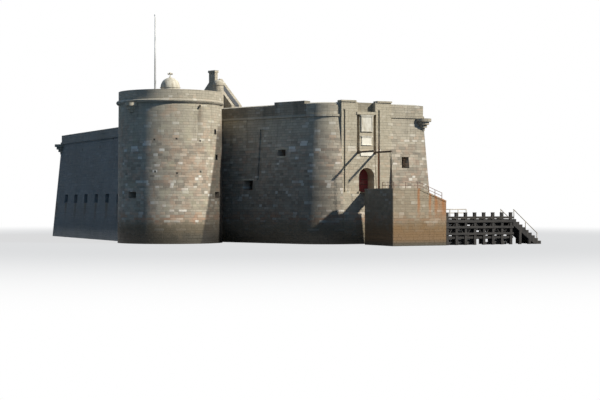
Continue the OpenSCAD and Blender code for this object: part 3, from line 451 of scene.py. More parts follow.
def port_stains_and_shade(colour, where, run):
    """Dark runs below the gun-ports, each a narrow band that fades downwards, and small vents
    painted as dark patches of shade. The left side first gets the painted blue-grey shade."""
    x, y, z = spread(where)
    # Painted blue-grey shade over the left wall.
    colour = blend(smooth(x, 0.0, -4.0) * 0.80, colour, shade_veil(where))
    from_port = reckon("WRAP", y - port_first, port_pitch / 2, -port_pitch / 2)
    drift = cloudy(joined(y * 4.0, z * 0.7, 0.0), 1.0) * 0.3 - 0.15
    band = smooth(abs(from_port + drift), 0.34, 0.10)
    length = smooth(z, stain_foot, port_foot) * smooth(z, port_foot + 0.12, port_foot)
    colour = blend(band * length * 0.7, colour, tide_dark)
    # Each vent is a dark patch of painted shade; the wall has no hole there.
    for place, height in vent_places:
        vent = smooth(abs(y - place), *vent_side) * smooth(abs(z - height), *vent_end)
        colour = blend(vent * 0.92, colour, hole_shade)
    return colour


def damp_and_shade_foot(colour, where, run):
    """The sheltered flank and corner darken towards their foot: damp and painted shade."""
    x, _, z = spread(where)
    edge = cloudy(where, 0.7) * 1.6 - 0.8
    # Painted shade, together with the damp, on the side turned away from the sun.
    lee_shade = smooth(x, -1.2, -2.4)
    return scaled(colour, 1.0 - smooth(z + edge, 5.6, 2.2) * lee_shade * 0.42)


dress(["left_wall", "right_wall"], granite_finish("side_wall_granite", straight_run, port_stains_and_shade))
dress(["back_wall", "front_right_wall", "right_flank_wall", "court_front_wall",
       "court_side_walls", "court_back_wall", "corner_corbels"],
      granite_finish("wall_granite", straight_run))
dress(["left_flank_wall"], granite_finish("flank_granite", corner_run, damp_and_shade_foot))
dress(["corner_walls"], granite_finish("corner_granite", two_runs, damp_and_shade_foot))


# The dressed stones of the left flank: pale lintels over its window and its embrasure, and
# the window's sill, let into the sloping wall and standing a little proud of it.
flank_start = (-6.014, 8.025)
wall_top = 7.215
wall_lean = 0.08
flank_axes = np.array([(*flank_along, 0.0), (*flank_out, wall_lean), (0.0, 0.0, 0.0)])
flank_axes[1] /= np.hypot(1.0, wall_lean)
flank_axes[2] = np.cross(flank_axes[0], flank_axes[1])
flank_window = 5.595
flank_embrasure = 3.065
lintel_back = -0.03
upright = np.eye(3)
box_corners = np.array([[x, y, z] for z in (-1, 1) for y in (-1, 1) for x in (-1, 1)]) / 2
box_faces = np.array([[0, 2, 3, 1], [4, 5, 7, 6], [0, 1, 5, 4],
                      [2, 6, 7, 3], [0, 4, 6, 2], [1, 3, 7, 5]])


def on_flank(along, out, z):
    """A place on the left flank: a distance along it, a distance out of its face, a height."""
    reach = out + (wall_top - z) * wall_lean
    level = [flank_start[i] + along * flank_along[i] + reach * flank_out[i] for i in (0, 1)]
    return level + [z]


def new_piece(name, points, faces, finish, body, slot, rounded=()):
    """A mesh piece that rides on a body, its faces turned outwards. Faces with as many
    corners as rounded says are shaded smooth."""
    mesh = bpy.data.meshes.new(name)
    points = np.asarray(points).reshape(-1, 3).tolist()
    mesh.from_pydata(points, [], [tuple(face) for face in faces])
    mesh.polygons.foreach_set("use_smooth", [len(face) in rounded for face in faces])
    mesh.materials.append(finish)
    piece = bpy.data.objects.new(name, mesh)
    bpy.context.scene.collection.objects.link(piece)
    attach(piece, body)
    return piece


def ease(piece, width):
    """Rounds a piece's edges off by a small bevel."""
    bevel = piece.modifiers.new("eased", "BEVEL")
    bevel.width = width
    bevel.segments = 2


def blocks(name, boxes, finish, body, slot, eased=0.004):
    """Separate boxes with eased edges. Each is (centre, sizes) or (centre, sizes, axes), and
    a corner is the centre plus half of each size, both ways, along the box's three axes."""
    points = [np.array(centre) + box_corners * np.array(sizes) @ (axes[0] if axes else upright)
              for centre, sizes, *axes in boxes]
    faces = np.concatenate([box_faces + 8 * k for k in range(len(boxes))])
    ease(new_piece(name, points, faces, finish, body, slot), eased)


def plain_stone(name, pale, dark):
    """One dressed stone's surface: tooled, speckled and stained, with no joints."""
    finish, shader, where = new_finish(name)
    patch = cloudy(where, 3.0, 5.0, 0.6)
    grain = cloudy(where, 60.0, 3.0, 0.7)
    colour = scaled(blend(smooth(patch, 0.35, 0.7), pale, dark), grain * 0.35 + 0.82)
    coat(shader, colour, 0.95 - grain * 0.12, patch * 0.4 + grain * 0.6, 0.008, 0.7)
    return finish


pale_stone = plain_stone("pale_stone", (0.56, 0.49, 0.37), (0.36, 0.29, 0.19))
lintels = [(flank_window, 5.425, (1.00, 0.09, 0.10)),
           (flank_window, 4.96, (0.72, 0.09, 0.09)),
           (flank_embrasure, 3.685, (0.90, 0.09, 0.10))]
blocks("flank_lintels",
       [(on_flank(along, lintel_back, z), sizes, flank_axes) for along, z, sizes in lintels],
       pale_stone, "fort", "granite", 0.008)


# The parapets: the same granite, with a cordon course below and a pale sloping coping on
# top. The left flank's embrasures are walled up with darker stone.
coping_tone = (0.560, 0.515, 0.420)
filled_bands = [(-6.6, -4.7), (-3.4, -2.2), (-1.0, 0.1)]
band_edge = 0.04
flank_cordon_h = 0.135
sheltered_from = -9.2


def pale_coping(colour, where, run):
    """Paler stone where the coping catches the weather, on faces that point upwards."""
    level = spread(run)[2]
    return blend(level * (cloudy(where, 3.0) * 0.5 + 0.45), colour, coping_tone)


def sheltered_coping(colour, where, run):
    """The rear parapet, with painted blue-grey shade on its left side like the wall below it."""
    # Painted blue-grey shade on the left side.
    sheltered = smooth(spread(where)[0], sheltered_from, sheltered_from - 0.3)
    return pale_coping(blend(sheltered * 0.6, colour, shade_veil(where)), where, run)


def filled_embrasures(colour, where, run):
    """The left flank's parapet: darker bands where old embrasures are walled up, over a
    cordon that is paler than the stone round it."""
    along = spread(run)[0]
    for start, end in filled_bands:
        inside = smooth(along, start - band_edge, start + band_edge)
        inside = inside * smooth(along, end + band_edge, end - band_edge)
        colour = scaled(colour, 1.0 - inside * 0.3)
    colour = scaled(colour, 0.74)
    z = spread(where)[2]
    cordon_top = wall_top + flank_cordon_h
    cordon = smooth(z, wall_top - 0.02, wall_top + 0.01)
    cordon = cordon * smooth(z, cordon_top + 0.015, cordon_top - 0.015)
    return pale_coping(blend(cordon * 0.45, colour, coping_tone), where, run)


dress(["right_flank_parapet"], granite_finish("parapet_granite", straight_run, pale_coping))
dress(["rear_parapet"], granite_finish("rear_parapet_granite", straight_run, sheltered_coping))
dress(["left_flank_parapet"],
      granite_finish("flank_parapet_granite", corner_run, filled_embrasures))
dress(["corner_parapets"], granite_finish("corner_parapet_granite", two_runs, pale_coping))


# The terraces and floors: worn flagstones laid in rows, grey-brown, with lichen in their
# joints and dark damp patches.
flag_size = (0.30, 0.42)
flag_tones = [(0.0, (0.20, 0.175, 0.14)), (0.5, (0.27, 0.23, 0.18)), (1.0, (0.34, 0.30, 0.24))]
damp_tone = (0.10, 0.10, 0.07)
flag_joint = (0.07, 0.065, 0.05)


def flagstones(name):
    """Flags by the same courses as the walls, with damp patches over them."""
    finish, shader, where = new_finish(name)
    run = placed(straight_run, where, facing_in(finish))[0]
    joint, tone, _ = placed(block_courses, run, *flag_size)
    damp = cloudy(where, 0.8)
    grain = cloudy(where, 40.0, 3.0, 0.7)
    colour = scaled(colours_of(tone, flag_tones), grain * 0.4 + 0.8)
    colour = blend(smooth(damp, 0.5, 0.72) * 0.6, colour, damp_tone)
    colour = blend(joint * 0.8, colour, flag_joint)
    height = tone * 0.4 + (1.0 - joint) + grain * 0.3
    coat(shader, colour, 0.95 - grain * 0.15, height, 0.012, 0.7)
    return finish


dress(["front_terrace", "rear_terrace", "ground_floor", "tower_floors", "tower_roof"],
      flagstones("flagstones"))


# The round tower: the same courses bent round its wall, with pale blocks scattered in it, a
# rounded cordon, and a stepped corbel under its parapet on the seaward side. Turns are in
# degrees round the tower, and its runs are counted from the seaward side.
tower_low, tower_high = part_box("tower_parapet")
tower_centre = ((tower_low.x + tower_high.x) / 2, (tower_low.y + tower_high.y) / 2)
tower_radius = 3.0
seaward_turn = 225.0
putlog_places = [(283.5, 5.85), (256.0, 5.95), (232.0, 5.90),
                 (284.0, 4.1), (256.5, 4.0), (233.0, 4.1)]
putlog_edge = (0.062, 0.045)
spout_turn = 283.0
spout_lip = (7.86, 7.8)
wet_edge, wet_fade = (0.20, 0.04), (5.6, 7.4)
tower_tan = (0.430, 0.390, 0.265)
tower_pink = (0.450, 0.300, 0.200)
wet_tone = (0.10, 0.08, 0.055)
# The painted shadow down the tower's right edge beside the flank: its top, the slope and place of
# its edge, and its fades.
shadow_top = 6.18
shadow_slope = 0.238
shadow_run = 4.535
shadow_edge, shadow_end, shadow_head = (-0.10, 0.12), (3.6, 2.0), (7.3, 6.2)
bead_reach = 3.055
bead_radius = 0.085
bead_z = 8.12
bead_turns = 256
bead_sides = 16


def round_run_rule(where, facing):
    """Round the tower: its radius times the angle, counted from the seaward side, and up."""
    x, y, z = spread(where)
    dx = x - tower_centre[0]
    dy = y - tower_centre[1]
    angle = reckon("ARCTAN2", dx - dy, (dx + dy) * -1.0)
    outward = reckon("SQRT", dx * dx + dy * dy)
    level = is_level(facing)
    return [joined(angle * tower_radius, z + level * (outward - z), level)]


def run_at(turn):
    """How far round the tower a turn lies, from the seaward side."""
    return np.radians(turn - seaward_turn) * tower_radius


def tower_marks_and_shade(colour, where, run):
    """Pink and tan patches, a darker foot, small square scaffold holes in painted shade, a dark
    wet run below the rain spout, and a painted shadow beside the flank, wider towards the foot."""
    along, up, _ = spread(run)
    patch = cloudy(where, 1.1, 5.0, 0.65)
    dry = smooth(up, 1.2, 2.4)
    colour = blend(smooth(patch, 0.50, 0.66) * dry * 0.42, colour, tower_pink)
    colour = blend(smooth(patch, 0.48, 0.36) * dry * 0.38, colour, tower_tan)
    colour = scaled(colour, 1.0 - smooth(up + patch * 0.6, 1.75, 1.15) * 0.38)
    # The scaffold holes are painted as dark patches of shade; the wall has no hollows there.
    for turn, z in putlog_places:
        hole = smooth(abs(along - run_at(turn)), *putlog_edge) * smooth(abs(up - z), *putlog_edge)
        colour = blend(hole * 0.92, colour, hole_shade)
    wander = cloudy(joined(along * 1.5, up * 0.8, 0.0), 1.0) * 0.24 - 0.12
    below = abs(along - run_at(spout_turn) + wander)
    wet = smooth(below, *wet_edge) * smooth(up, *wet_fade) * smooth(up, *spout_lip)
    colour = blend(wet * 0.55, colour, wet_tone)
    # A painted shadow beside the flank, wider towards the foot, darkens the stone here.
    edge = along - (up - shadow_top) * shadow_slope - shadow_run + wander * 0.6
    painted_shadow = smooth(edge, *shadow_edge) * smooth(edge, *shadow_end) * smooth(up, *shadow_head)
    return scaled(colour, 1.0 - painted_shadow * 0.76)


def bead_points(centre, radius, bead, z, turns, sides):
    """A round moulding: a small circle of radius bead carried round a large one."""
    turn = np.linspace(0.0, 2.0 * np.pi, turns, endpoint=False)[:, None]
    a = np.linspace(0.0, 2.0 * np.pi, sides, endpoint=False)[None, :]
    reach = radius + bead * np.cos(a)
    x = centre[0] + reach * np.cos(turn)
    y = centre[1] + reach * np.sin(turn)
    return np.stack([x, y, z + bead * np.sin(a) + 0 * turn], -1)


def closed_grid(rows, columns):
    """The quads of a grid that closes on itself both ways."""
    index = np.arange(rows * columns).reshape(rows, columns)
    right = np.roll(index, -1, 1)
    corners = [index, np.roll(index, -1, 0), np.roll(right, -1, 0), right]
    return np.stack(corners, -1).reshape(-1, 4)


round_run = shared_effect("round_run", place_and_facing, run_only, round_run_rule)
dress(["tower_wall_inner_right", "tower_wall_inner_left", "tower_wall_outer_left",
       "tower_wall_outer_right"], granite_finish("tower_granite", round_run, tower_marks_and_shade))
dress(["tower_corbel"], pale_stone)
tower_top_granite = granite_finish("tower_parapet_granite", round_run, pale_coping)
dress(["tower_parapet"], tower_top_granite)
new_piece("tower_bead",
          bead_points(tower_centre, bead_reach, bead_radius, bead_z, bead_turns, bead_sides),
          closed_grid(bead_turns, bead_sides), tower_top_granite, "fort", "granite", (4,))


# The gateway: dressed granite of a lighter, yellower tan, with rust in its right-hand
# groove, a bare relief panel, a bare tablet and a blind block over the door, all let into
# the wall, and wedge stones round the arch.
gate_tan = (0.460, 0.402, 0.290)
gate_tones = [(0.25, (0.33, 0.28, 0.19)), (0.5, gate_tan), (0.75, (0.57, 0.51, 0.39))]
groove_rust = (0.21, 0.075, 0.03)
groove_right = 0.797
groove_rust_top = 5.9
recess_foot = 7.46
recess_half = 0.58
panel_pale, panel_stain = (0.66, 0.62, 0.53), (0.40, 0.35, 0.26)
turret_pale, turret_stain = (0.62, 0.57, 0.46), (0.36, 0.31, 0.23)
tablet_top = 6.15
door_spring = 3.82
arch_stone_count = 11
arch_inner, arch_outer, keystone_outer = 0.497, 0.74, 0.80
arch_front, arch_back = -0.014, 0.03
arch_gap = 0.008
frame_thick = 0.03
relief_frame_y, tablet_frame_y = -0.05, -0.035
relief_frame_z, tablet_frame_z = (6.39, 7.22), (5.615, 6.045)
relief_frame_half = 0.345
relief_rail, relief_stile = (0.74, frame_thick, 0.045), (0.045, frame_thick, 0.80)
tablet_rail = (0.64, frame_thick, 0.035)
relief_hood = ((0.0, -0.05, 7.29), (0.86, 0.08, 0.05))
tablet_hood = ((0.0, -0.04, 6.11), (0.74, 0.06, 0.05))


def gate_colours(colour, where, run):
    """Mottled tan over the wall's own colours, rust down the right-hand groove, and shade in
    the recess between the caps."""
    x, y, z = spread(where)
    tan = colours_of(cloudy(where, 5.0, 5.0, 0.6), gate_tones)
    colour = blend(smooth(z, 1.2, 3.0) * 0.52, colour, tan)
    in_groove = smooth(abs(x - groove_right), 0.10, 0.05) * smooth(y, 0.0, 0.03)
    rusty = in_groove * smooth(z, groove_rust_top, groove_rust_top - 0.9)
    colour = blend(rusty * 0.85, colour, groove_rust)
    recess = smooth(abs(x), recess_half, recess_half - 0.03) * smooth(y, 0.02, 0.08)
    recess = recess * smooth(z, recess_foot, recess_foot + 0.04)
    return scaled(colour, 1.0 - recess * 0.4)


def limewash(name, pale, stain, grain_scale):
    """Weathered render or a dressed panel: a pale coat, stained downwards and finely pitted.
    The stones below tablet_top are cleaner and brighter."""
    finish, shader, where = new_finish(name)
    x, y, z = spread(where)
    runs = cloudy(joined(x * 5.0, y * 5.0, z * 0.9), 1.0, 5.0, 0.65)
    patch = cloudy(where, 4.0)
    grain = cloudy(where, grain_scale, 3.0)
    tablet = smooth(z, tablet_top, tablet_top - 0.1) * 0.55
    colour = blend(smooth(runs, 0.42, 0.75) * (1.0 - tablet), pale, stain)
    colour = scaled(colour, patch * 0.3 + 0.85 + tablet * 0.35)
    coat(shader, colour, 0.9 - patch * 0.1, patch * 0.5 + grain * 0.5, 0.008, 0.6)
    return finish


def arch_stones():
    """Wedge stones round the doorway's arch: each is a sector of a ring between two radii,
    its corners at radius times cosine and sine of the angle, a little proud of the front.
    The middle one reaches further out."""
    points, faces = [], []
    cuts = np.radians(np.linspace(0.0, 180.0, arch_stone_count + 1))
    for k, (start, end) in enumerate(zip(cuts[:-1] + arch_gap, cuts[1:] - arch_gap)):
        outer = keystone_outer if k == arch_stone_count // 2 else arch_outer
        points += [(r * np.cos(a), y, door_spring + r * np.sin(a))
                   for r in (arch_inner, outer) for y in (arch_front, arch_back)
                   for a in (start, end)]
        faces.append(box_faces[:, ::-1] + 8 * k)
    return points, np.concatenate(faces)


gate_granite = granite_finish("gate_granite", straight_run, gate_colours)
panel_stone = limewash("panel_stone", panel_pale, panel_stain, 60.0)
turret_render = limewash("turret_render", turret_pale, turret_stain, 45.0)
dress(["gate_base", "gate_wall_left", "gate_wall_right", "gate_wall_over"], gate_granite)
dress(["gate_panels"], panel_stone)
dress(["stair_turret"], turret_render)
ease(new_piece("arch_stones", *arch_stones(), gate_granite, "fort", "granite"), 0.006)
panel_frame = [((0.0, relief_frame_y, z), relief_rail) for z in relief_frame_z]
panel_frame += [((x, relief_frame_y, sum(relief_frame_z) / 2), relief_stile)
                for x in (-relief_frame_half, relief_frame_half)]
panel_frame += [((0.0, tablet_frame_y, z), tablet_rail) for z in tablet_frame_z]
panel_frame += [relief_hood, tablet_hood]
blocks("panel_frames", panel_frame, panel_stone, "fort", "pale_render", 0.008)


# The doors: two leaves of upright boards, painted red and faded by the weather. The boards
# are nailed over each leaf and follow its arched top.
board_count = 5
board_proud = 0.004
board_gap = 0.002
board_reach = 0.487
board_start = 0.006
board_steps = 9
board_sunk = 0.002
leaf_low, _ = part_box("door_leaf_right")
leaf_front = leaf_low.y
board_foot = leaf_low.z + 0.008
door_sill = 2.92
red_tones = [(0.3, (0.11, 0.012, 0.016)), (0.6, (0.22, 0.026, 0.030)),
             (0.8, (0.32, 0.055, 0.050))]
red_worn = (0.20, 0.12, 0.10)


def red_boards():
    """Red paint along a fine upright grain, worn in patches and darker near the sill."""
    finish, shader, where = new_finish("red_boards")
    x, y, z = spread(where)
    grain = cloudy(joined(x * 60.0, y * 60.0, z * 2.5), 1.0, 5.0, 0.6)
    worn = cloudy(where, 6.0)
    colour = blend(smooth(worn, 0.50, 0.72) * 0.6, colours_of(grain, red_tones), red_worn)
    colour = scaled(colour, smooth(z, door_sill - 0.1, door_sill + 0.5) * 0.35 + 0.65)
    coat(shader, colour, 0.5 + grain * 0.3, grain, 0.004, 0.7)
    return finish


def board_strip(start, end, side):
    """One upright board: a flat front with eased edges, from the sill up to the leaf's arch.
    Across it y steps forward by a power curve, and its top is the arch's height at that x.
    Its back lies just inside the leaf."""
    across = np.linspace(0.0, 1.0, board_steps)
    x = start + (end - start) * across
    front = leaf_front - board_proud * (1.0 - np.abs(2.0 * across - 1.0) ** 6)
    back = np.full_like(x, leaf_front + board_sunk)
    top = door_spring + np.sqrt(np.maximum(board_reach**2 - x**2, 0.0))
    foot = np.full_like(x, board_foot)
    outline = ((front, foot), (front, top), (back, top), (back, foot))
    return np.stack([np.stack([side * x, y, z], -1) for y, z in outline])


def board_faces(first, flip):
    """The quads round a board's four long edges, and one at each of its sides."""
    index = first + np.arange(4 * board_steps).reshape(4, board_steps)
    after = np.roll(index, -1, 0)
    corners = [index[:, :-1], index[:, 1:], after[:, 1:], after[:, :-1]]
    sides = [index[:, 0], index[::-1, -1]]
    quads = np.concatenate([np.stack(corners, -1).reshape(-1, 4), sides])
    return quads[:, ::-1] if flip else quads


red_paint = red_boards()
dress(["door_leaf_left", "door_leaf_right"], red_paint)
door_sides = ((1, "door_right"), (-1, "door_left"))
board_edges = np.linspace(board_start, board_reach, board_count + 1)
for side, body in door_sides:
    strips = [board_strip(start + board_gap, end - board_gap, side)
              for start, end in zip(board_edges[:-1], board_edges[1:])]
    faces = [board_faces(4 * board_steps * k, side < 0) for k in range(board_count)]
    new_piece(body + "_boards", strips, np.concatenate(faces), red_paint, body, "red_paint")


# The ironwork: rusted wrought iron. Three straps with square studs are nailed across each
# door's boards, and bars stand in the windows, set in the stone above and below.
iron_tones = [(0.3, (0.030, 0.024, 0.020)), (0.55, (0.075, 0.042, 0.026)),
              (0.8, (0.17, 0.075, 0.035))]
strap_heights = (3.10, 3.38, 3.66)
strap_x = 0.245
strap_sizes = (0.44, 0.006, 0.036)
strap_y = leaf_front - board_proud - 0.002
stud_places = np.linspace(0.06, 0.44, 5)
stud_sizes = (0.016, 0.008, 0.016)
bar_radius = 0.010
flank_bar_in = -0.16
flank_bar_z = (5.0, 5.38)
flank_bar_pitch = 0.09
tall_window_x = 2.52
tall_bar_y = 0.12
tall_bar_z = (4.32, 4.98)
tall_bar_half = 0.045
tall_cross_half = 0.14
tall_cross_z = (4.49, 4.65, 4.81)
tower_windows = ((308.5, 6.26), (311.0, 4.80))
tower_bar_reach = 2.86
tower_bar_half = 0.04
tower_bar_up = (-0.01, 0.31)


def rusted_iron():
    """Dark iron with rust in patches."""
    finish, shader, where = new_finish("rusted_iron")
    patch = cloudy(where, 30.0, 5.0, 0.65)
    coat(shader, colours_of(patch, iron_tones), patch * 0.3 + 0.55, patch, 0.003, 0.6)
    shader.inputs["Metallic"].default_value = 0.3
    return finish


def rods(name, lines, radius, finish, body, slot, sides=10):
    """Round bars between pairs of points: a circle in the plane square to each line, at both
    of its ends, closed by caps."""
    points, faces = [], []
    turn = np.linspace(0.0, 2.0 * np.pi, sides, endpoint=False)
    for k, (start, end) in enumerate(lines):
        way = Vector(end) - Vector(start)
        side = way.orthogonal().normalized()
        other = way.cross(side).normalized()
        ring = radius * (np.outer(np.cos(turn), side) + np.outer(np.sin(turn), other))
        points += [ring + np.array(start), ring + np.array(end)]
        index = 2 * sides * k + np.arange(sides)
        after = np.roll(index, -1)
        faces += np.stack([index, after, after + sides, index + sides], -1).tolist()
        faces += [index[::-1].tolist(), (index + sides).tolist()]
    new_piece(name, points, faces, finish, body, slot, (4,))


def tower_bars(turn, sill):
    """Two upright bars in one of the tower's windows, side by side across its depth."""
    out = np.array([np.cos(np.radians(turn)), np.sin(np.radians(turn))])
    middle = np.array(tower_centre) + out * tower_bar_reach
    across = np.array([-out[1], out[0]]) * tower_bar_half
    return [[(*(middle + across * k), sill + up) for up in tower_bar_up] for k in (-1, 1)]


iron = rusted_iron()
for side, body in door_sides:
    straps = [((side * strap_x, strap_y, z), strap_sizes) for z in strap_heights]
    blocks(body + "_straps", straps, iron, body, "iron", 0.002)
    studs = [((side * x, strap_y - 0.002, z), stud_sizes)
             for z in strap_heights for x in stud_places]
    blocks(body + "_studs", studs, iron, body, "iron", 0.003)
window_bars = [[on_flank(flank_window + x, flank_bar_in, z) for z in flank_bar_z]
               for x in (-flank_bar_pitch, 0.0, flank_bar_pitch)]
window_bars += [[(tall_window_x + x, tall_bar_y, z) for z in tall_bar_z]
                for x in (-tall_bar_half, tall_bar_half)]
window_bars += [[(tall_window_x + x, tall_bar_y, z) for x in (-tall_cross_half, tall_cross_half)]
                for z in tall_cross_z]
for turn, sill in tower_windows:
    window_bars += tower_bars(turn, sill)
rods("window_bars", window_bars, bar_radius, iron, "fort", "iron")


# The drawbridge: two lifting beams in the gate's slots carry the outer end of a plank deck
# by two chains. The chains are welded links, each turned a quarter from the last, and the
# planks are nailed across the deck's frame.
link_length = 0.080
link_width = 0.044
link_bar = 0.0065
chain_top = Vector((0.485, -1.83, 5.2))
chain_foot = Vector((0.485, -2.03, 2.9))
deck_low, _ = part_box("drawbridge_deck")
deck_half = 0.447
deck_near_y = -0.060
deck_plank_z = (2.930, 2.939)
deck_plank_count = 14
plank_gap = 0.007
timber_grain = (1.6, 26.0)


def link_loop(length, width, bar, turns=16, sides=6):
    """One chain link: a circle of the bar's radius carried round a stadium, whose centre
    line is a circle stretched along z by the link's straight part."""
    t = np.linspace(0.0, 2.0 * np.pi, turns, endpoint=False)[:, None]
    a = np.linspace(0.0, 2.0 * np.pi, sides, endpoint=False)[None, :]
    radius = width / 2 - bar
    straight = np.sign(np.round(np.sin(t), 6)) * (length - width) / 2
    x = (radius + bar * np.cos(a)) * np.cos(t)
    z = (radius + bar * np.cos(a)) * np.sin(t) + straight
    y = bar * np.sin(a) + 0.0 * t
    index = np.arange(turns * sides).reshape(turns, sides)
    after_turn = np.roll(index, -1, 0)
    corners = [index, np.roll(index, -1, 1), np.roll(after_turn, -1, 1), after_turn]
    return np.stack([x, y, z], -1).reshape(-1, 3), np.stack(corners, -1).reshape(-1, 4)


def chain_points(top, foot):
    """Links along a straight line, each the last one moved by the inner length of a link."""
    line = np.array(foot - top)
    count = int(round(np.linalg.norm(line) / (link_length - 2 * link_bar)))
    down = line / np.linalg.norm(line)
    side = np.array([1.0, 0.0, 0.0])
    deep = np.cross(down, side)
    loop, faces = link_loop(link_length, link_width, link_bar)
    places = np.array(top) + line * ((np.arange(count) + 0.5) / count)[:, None]
    points = []
    for k, place in enumerate(places):
        wide, thick = (side, deep) if k % 2 else (deep, -side)
        points.append(place + loop[:, :1] * wide + loop[:, 1:2] * thick + loop[:, 2:] * down)
    return np.concatenate(points), np.concatenate([faces + k * len(loop) for k in range(count)])


def tarred_timber(name, dark, pale, along):
    """Weathered timber: grain stretched along one axis, dark tar, and pale salt-worn streaks."""
    finish, shader, where = new_finish(name)
    stretched = [part * timber_grain[axis != along] for part, axis in zip(spread(where), "xyz")]
    grain = cloudy(joined(*stretched), 1.0, 6.0, 0.65)
    patch = cloudy(where, 2.5)
    colour = scaled(blend(smooth(grain, 0.35, 0.72), dark, pale), patch * 0.9 + 0.55)
    coat(shader, colour, 0.92 - grain * 0.25, grain, 0.006, 0.8)
    return finish


def planks(name, low, high, count, axis, finish, body):
    """Boards side by side on a level deck, with narrow gaps, divided along one axis."""
    low, high = np.array(low), np.array(high)
    sizes = high - low
    step = sizes[axis] / count
    sizes[axis] = step - plank_gap
    shift = np.zeros(3)
    shift[axis] = step
    middle = (low + high) / 2
    boxes = [(middle + shift * (k - (count - 1) / 2), sizes) for k in range(count)]
    blocks(name, boxes, finish, body, "dark_wood", 0.003)


right_points, right_faces = chain_points(chain_top, chain_foot)
left_points = right_points * np.array([-1.0, 1.0, 1.0])
links = new_piece("chain_links", np.concatenate([right_points, left_points]),
                  np.concatenate([right_faces, right_faces[:, ::-1] + len(right_points)]),
                  iron, "bridge_chains", "iron", (4,))
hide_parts("drawbridge_chains")
beam_timber = tarred_timber("beam_timber", (0.040, 0.027, 0.018), (0.125, 0.085, 0.055), "y")
deck_timber = tarred_timber("deck_timber", (0.060, 0.045, 0.032), (0.190, 0.150, 0.105), "x")
dress(["drawbridge_beams"], beam_timber)
dress(["drawbridge_deck"], deck_timber)
planks("deck_planks", (-deck_half, deck_low.y + 0.002, deck_plank_z[0]),
       (deck_half, deck_near_y, deck_plank_z[1]), deck_plank_count, 1, deck_timber, "bridge_deck")


# The turret and the roof house: the house's gables carry a slate roof, nailed in courses
# that overlap, under a row of ridge tiles. The chimney stands on the outer gable.
slate_tones = [(0.3, (0.030, 0.034, 0.040)), (0.6, (0.062, 0.066, 0.072)),
               (0.85, (0.11, 0.10, 0.085))]
house_along = -1.7
house_in = 1.445
house_foot = 7.35
half_span = 1.7
eaves_z = 0.967
ridge_z = 2.587
slate_sizes = (0.122, 0.17, 0.009)
slate_rows, slates_across = 21, 3
first_course, course_step = 0.06, 0.109
first_slate, slate_step = 0.317, 0.133
slate_tip = 0.045
slate_lift = 0.012
ridge_sizes = (0.192, 0.20, 0.016)
first_tile, tile_step, tile_count = 0.35, 0.20, 2
tile_aside, tile_drop, tile_lift = 0.075, 0.035, 0.022


def slate_finish():
    """Blue-grey slate, browned by lichen in patches."""
    finish, shader, where = new_finish("slate")
    grain = cloudy(where, 70.0, 3.0)
    colour = colours_of(cloudy(where, 9.0), slate_tones)
    coat(shader, colour, grain * 0.3 + 0.5, grain, 0.003, 0.5)
    return finish


def in_house(across, inwards, z):
    """A place in the roof house's frame, whose x runs along the flank and y inwards."""
    lean = (z + house_foot - wall_top) * wall_lean
    return np.array(on_flank(house_along + across, lean - house_in - inwards, house_foot + z))


def slate_courses():
    """Slates on both slopes, laid from the eaves up, and tiles beside the ridge. A slate's
    axes are along the eaves, up the slope and square to both; it tips up a little over the
    course below."""
    boxes = []
    chosen = np.random.default_rng(5)
    inwards = -np.array([*flank_out, 0.0])
    for side in (-1, 1):
        slope = np.array([-side * half_span, ridge_z - eaves_z])
        slope /= np.hypot(*slope)
        up = slope[0] * flank_axes[0] + slope[1] * np.array([0.0, 0.0, 1.0])
        square = np.cross(inwards, up) * side
        up = up - slate_tip * square
        axes = np.array([inwards, up / np.linalg.norm(up), square])
        for row in range(slate_rows):
            place = slope * (first_course + row * course_step)
            for k in range(slates_across):
                inward = first_slate + k * slate_step + chosen.uniform(-0.006, 0.006)
                centre = in_house(side * half_span + place[0], inward, eaves_z + place[1])
                lift = slate_lift + chosen.uniform(0, 0.004)
                boxes.append((centre + square * lift, slate_sizes, axes))
        for k in range(tile_count):
            centre = in_house(side * tile_aside, first_tile + k * tile_step, ridge_z - tile_drop)
            boxes.append((centre + square * tile_lift, ridge_sizes, axes))
    return boxes


slate = slate_finish()
dress(["corner_turret", "house_walls", "chimney"],
      granite_finish("house_granite", straight_run, pale_coping))
dress(["house_roof"], slate)
blocks("roof_slates", slate_courses(), slate, "fort", "slate", 0.002)


# The flagpole: a tapered timber pole with its upper part painted white, a halyard down one
# side and two cleats that hold it.
pole_place = np.array([-10.175, 7.06])
rope_side = np.array([0.8988, -0.4384])
pole_bare, pole_white = (0.30, 0.30, 0.29), (0.78, 0.78, 0.75)
pole_worn = (0.35, 0.31, 0.25)
paint_from = 10.5
halyard_low, halyard_high = (0.06, 9.0), (0.035, 13.15)
halyard_radius = 0.006
cleat_heights = (9.35, 11.9)
cleat_sizes = (0.035, 0.035, 0.22)


def pole_paint():
    """Grey timber below, white paint above, both worn in streaks along the pole."""
    finish, shader, where = new_finish("pole_paint")
    x, y, z = spread(where)
    worn = cloudy(joined(x * 20.0, y * 20.0, z * 1.5), 1.0, 5.0)
    colour = blend(smooth(z, paint_from, paint_from + 1.0), pole_bare, pole_white)
    coat(shader, blend(smooth(worn, 0.55, 0.75) * 0.5, colour, pole_worn), worn * 0.3 + 0.35)
    return finish


def beside_pole(out, z):
    """A place beside the pole, on the side of its rope."""
    return (*(pole_place + rope_side * out), z)


white_paint = pole_paint()
rope = plain_stone("rope", (0.34, 0.30, 0.23), (0.20, 0.17, 0.13))
dress(["flagpole"], white_paint)
rods("halyard", [(beside_pole(*halyard_low), beside_pole(*halyard_high))], halyard_radius,
     rope, "fort", "white_paint", 8)
blocks("cleats", [(beside_pole(0.05, z), cleat_sizes) for z in cleat_heights],
       white_paint, "fort", "white_paint", 0.008)


# The finial: two lobes beside the stem's own knob, and a collar where the stem leaves the
# dome, all of the turret's pale stone.
lobe_reach = 0.10
lobe_z, lobe_radius = 9.87, 0.058
collar_z, collar_radius = 9.66, 0.075
ball_rings, ball_columns = 10, 20
ball_size = ball_rings * ball_columns + 2


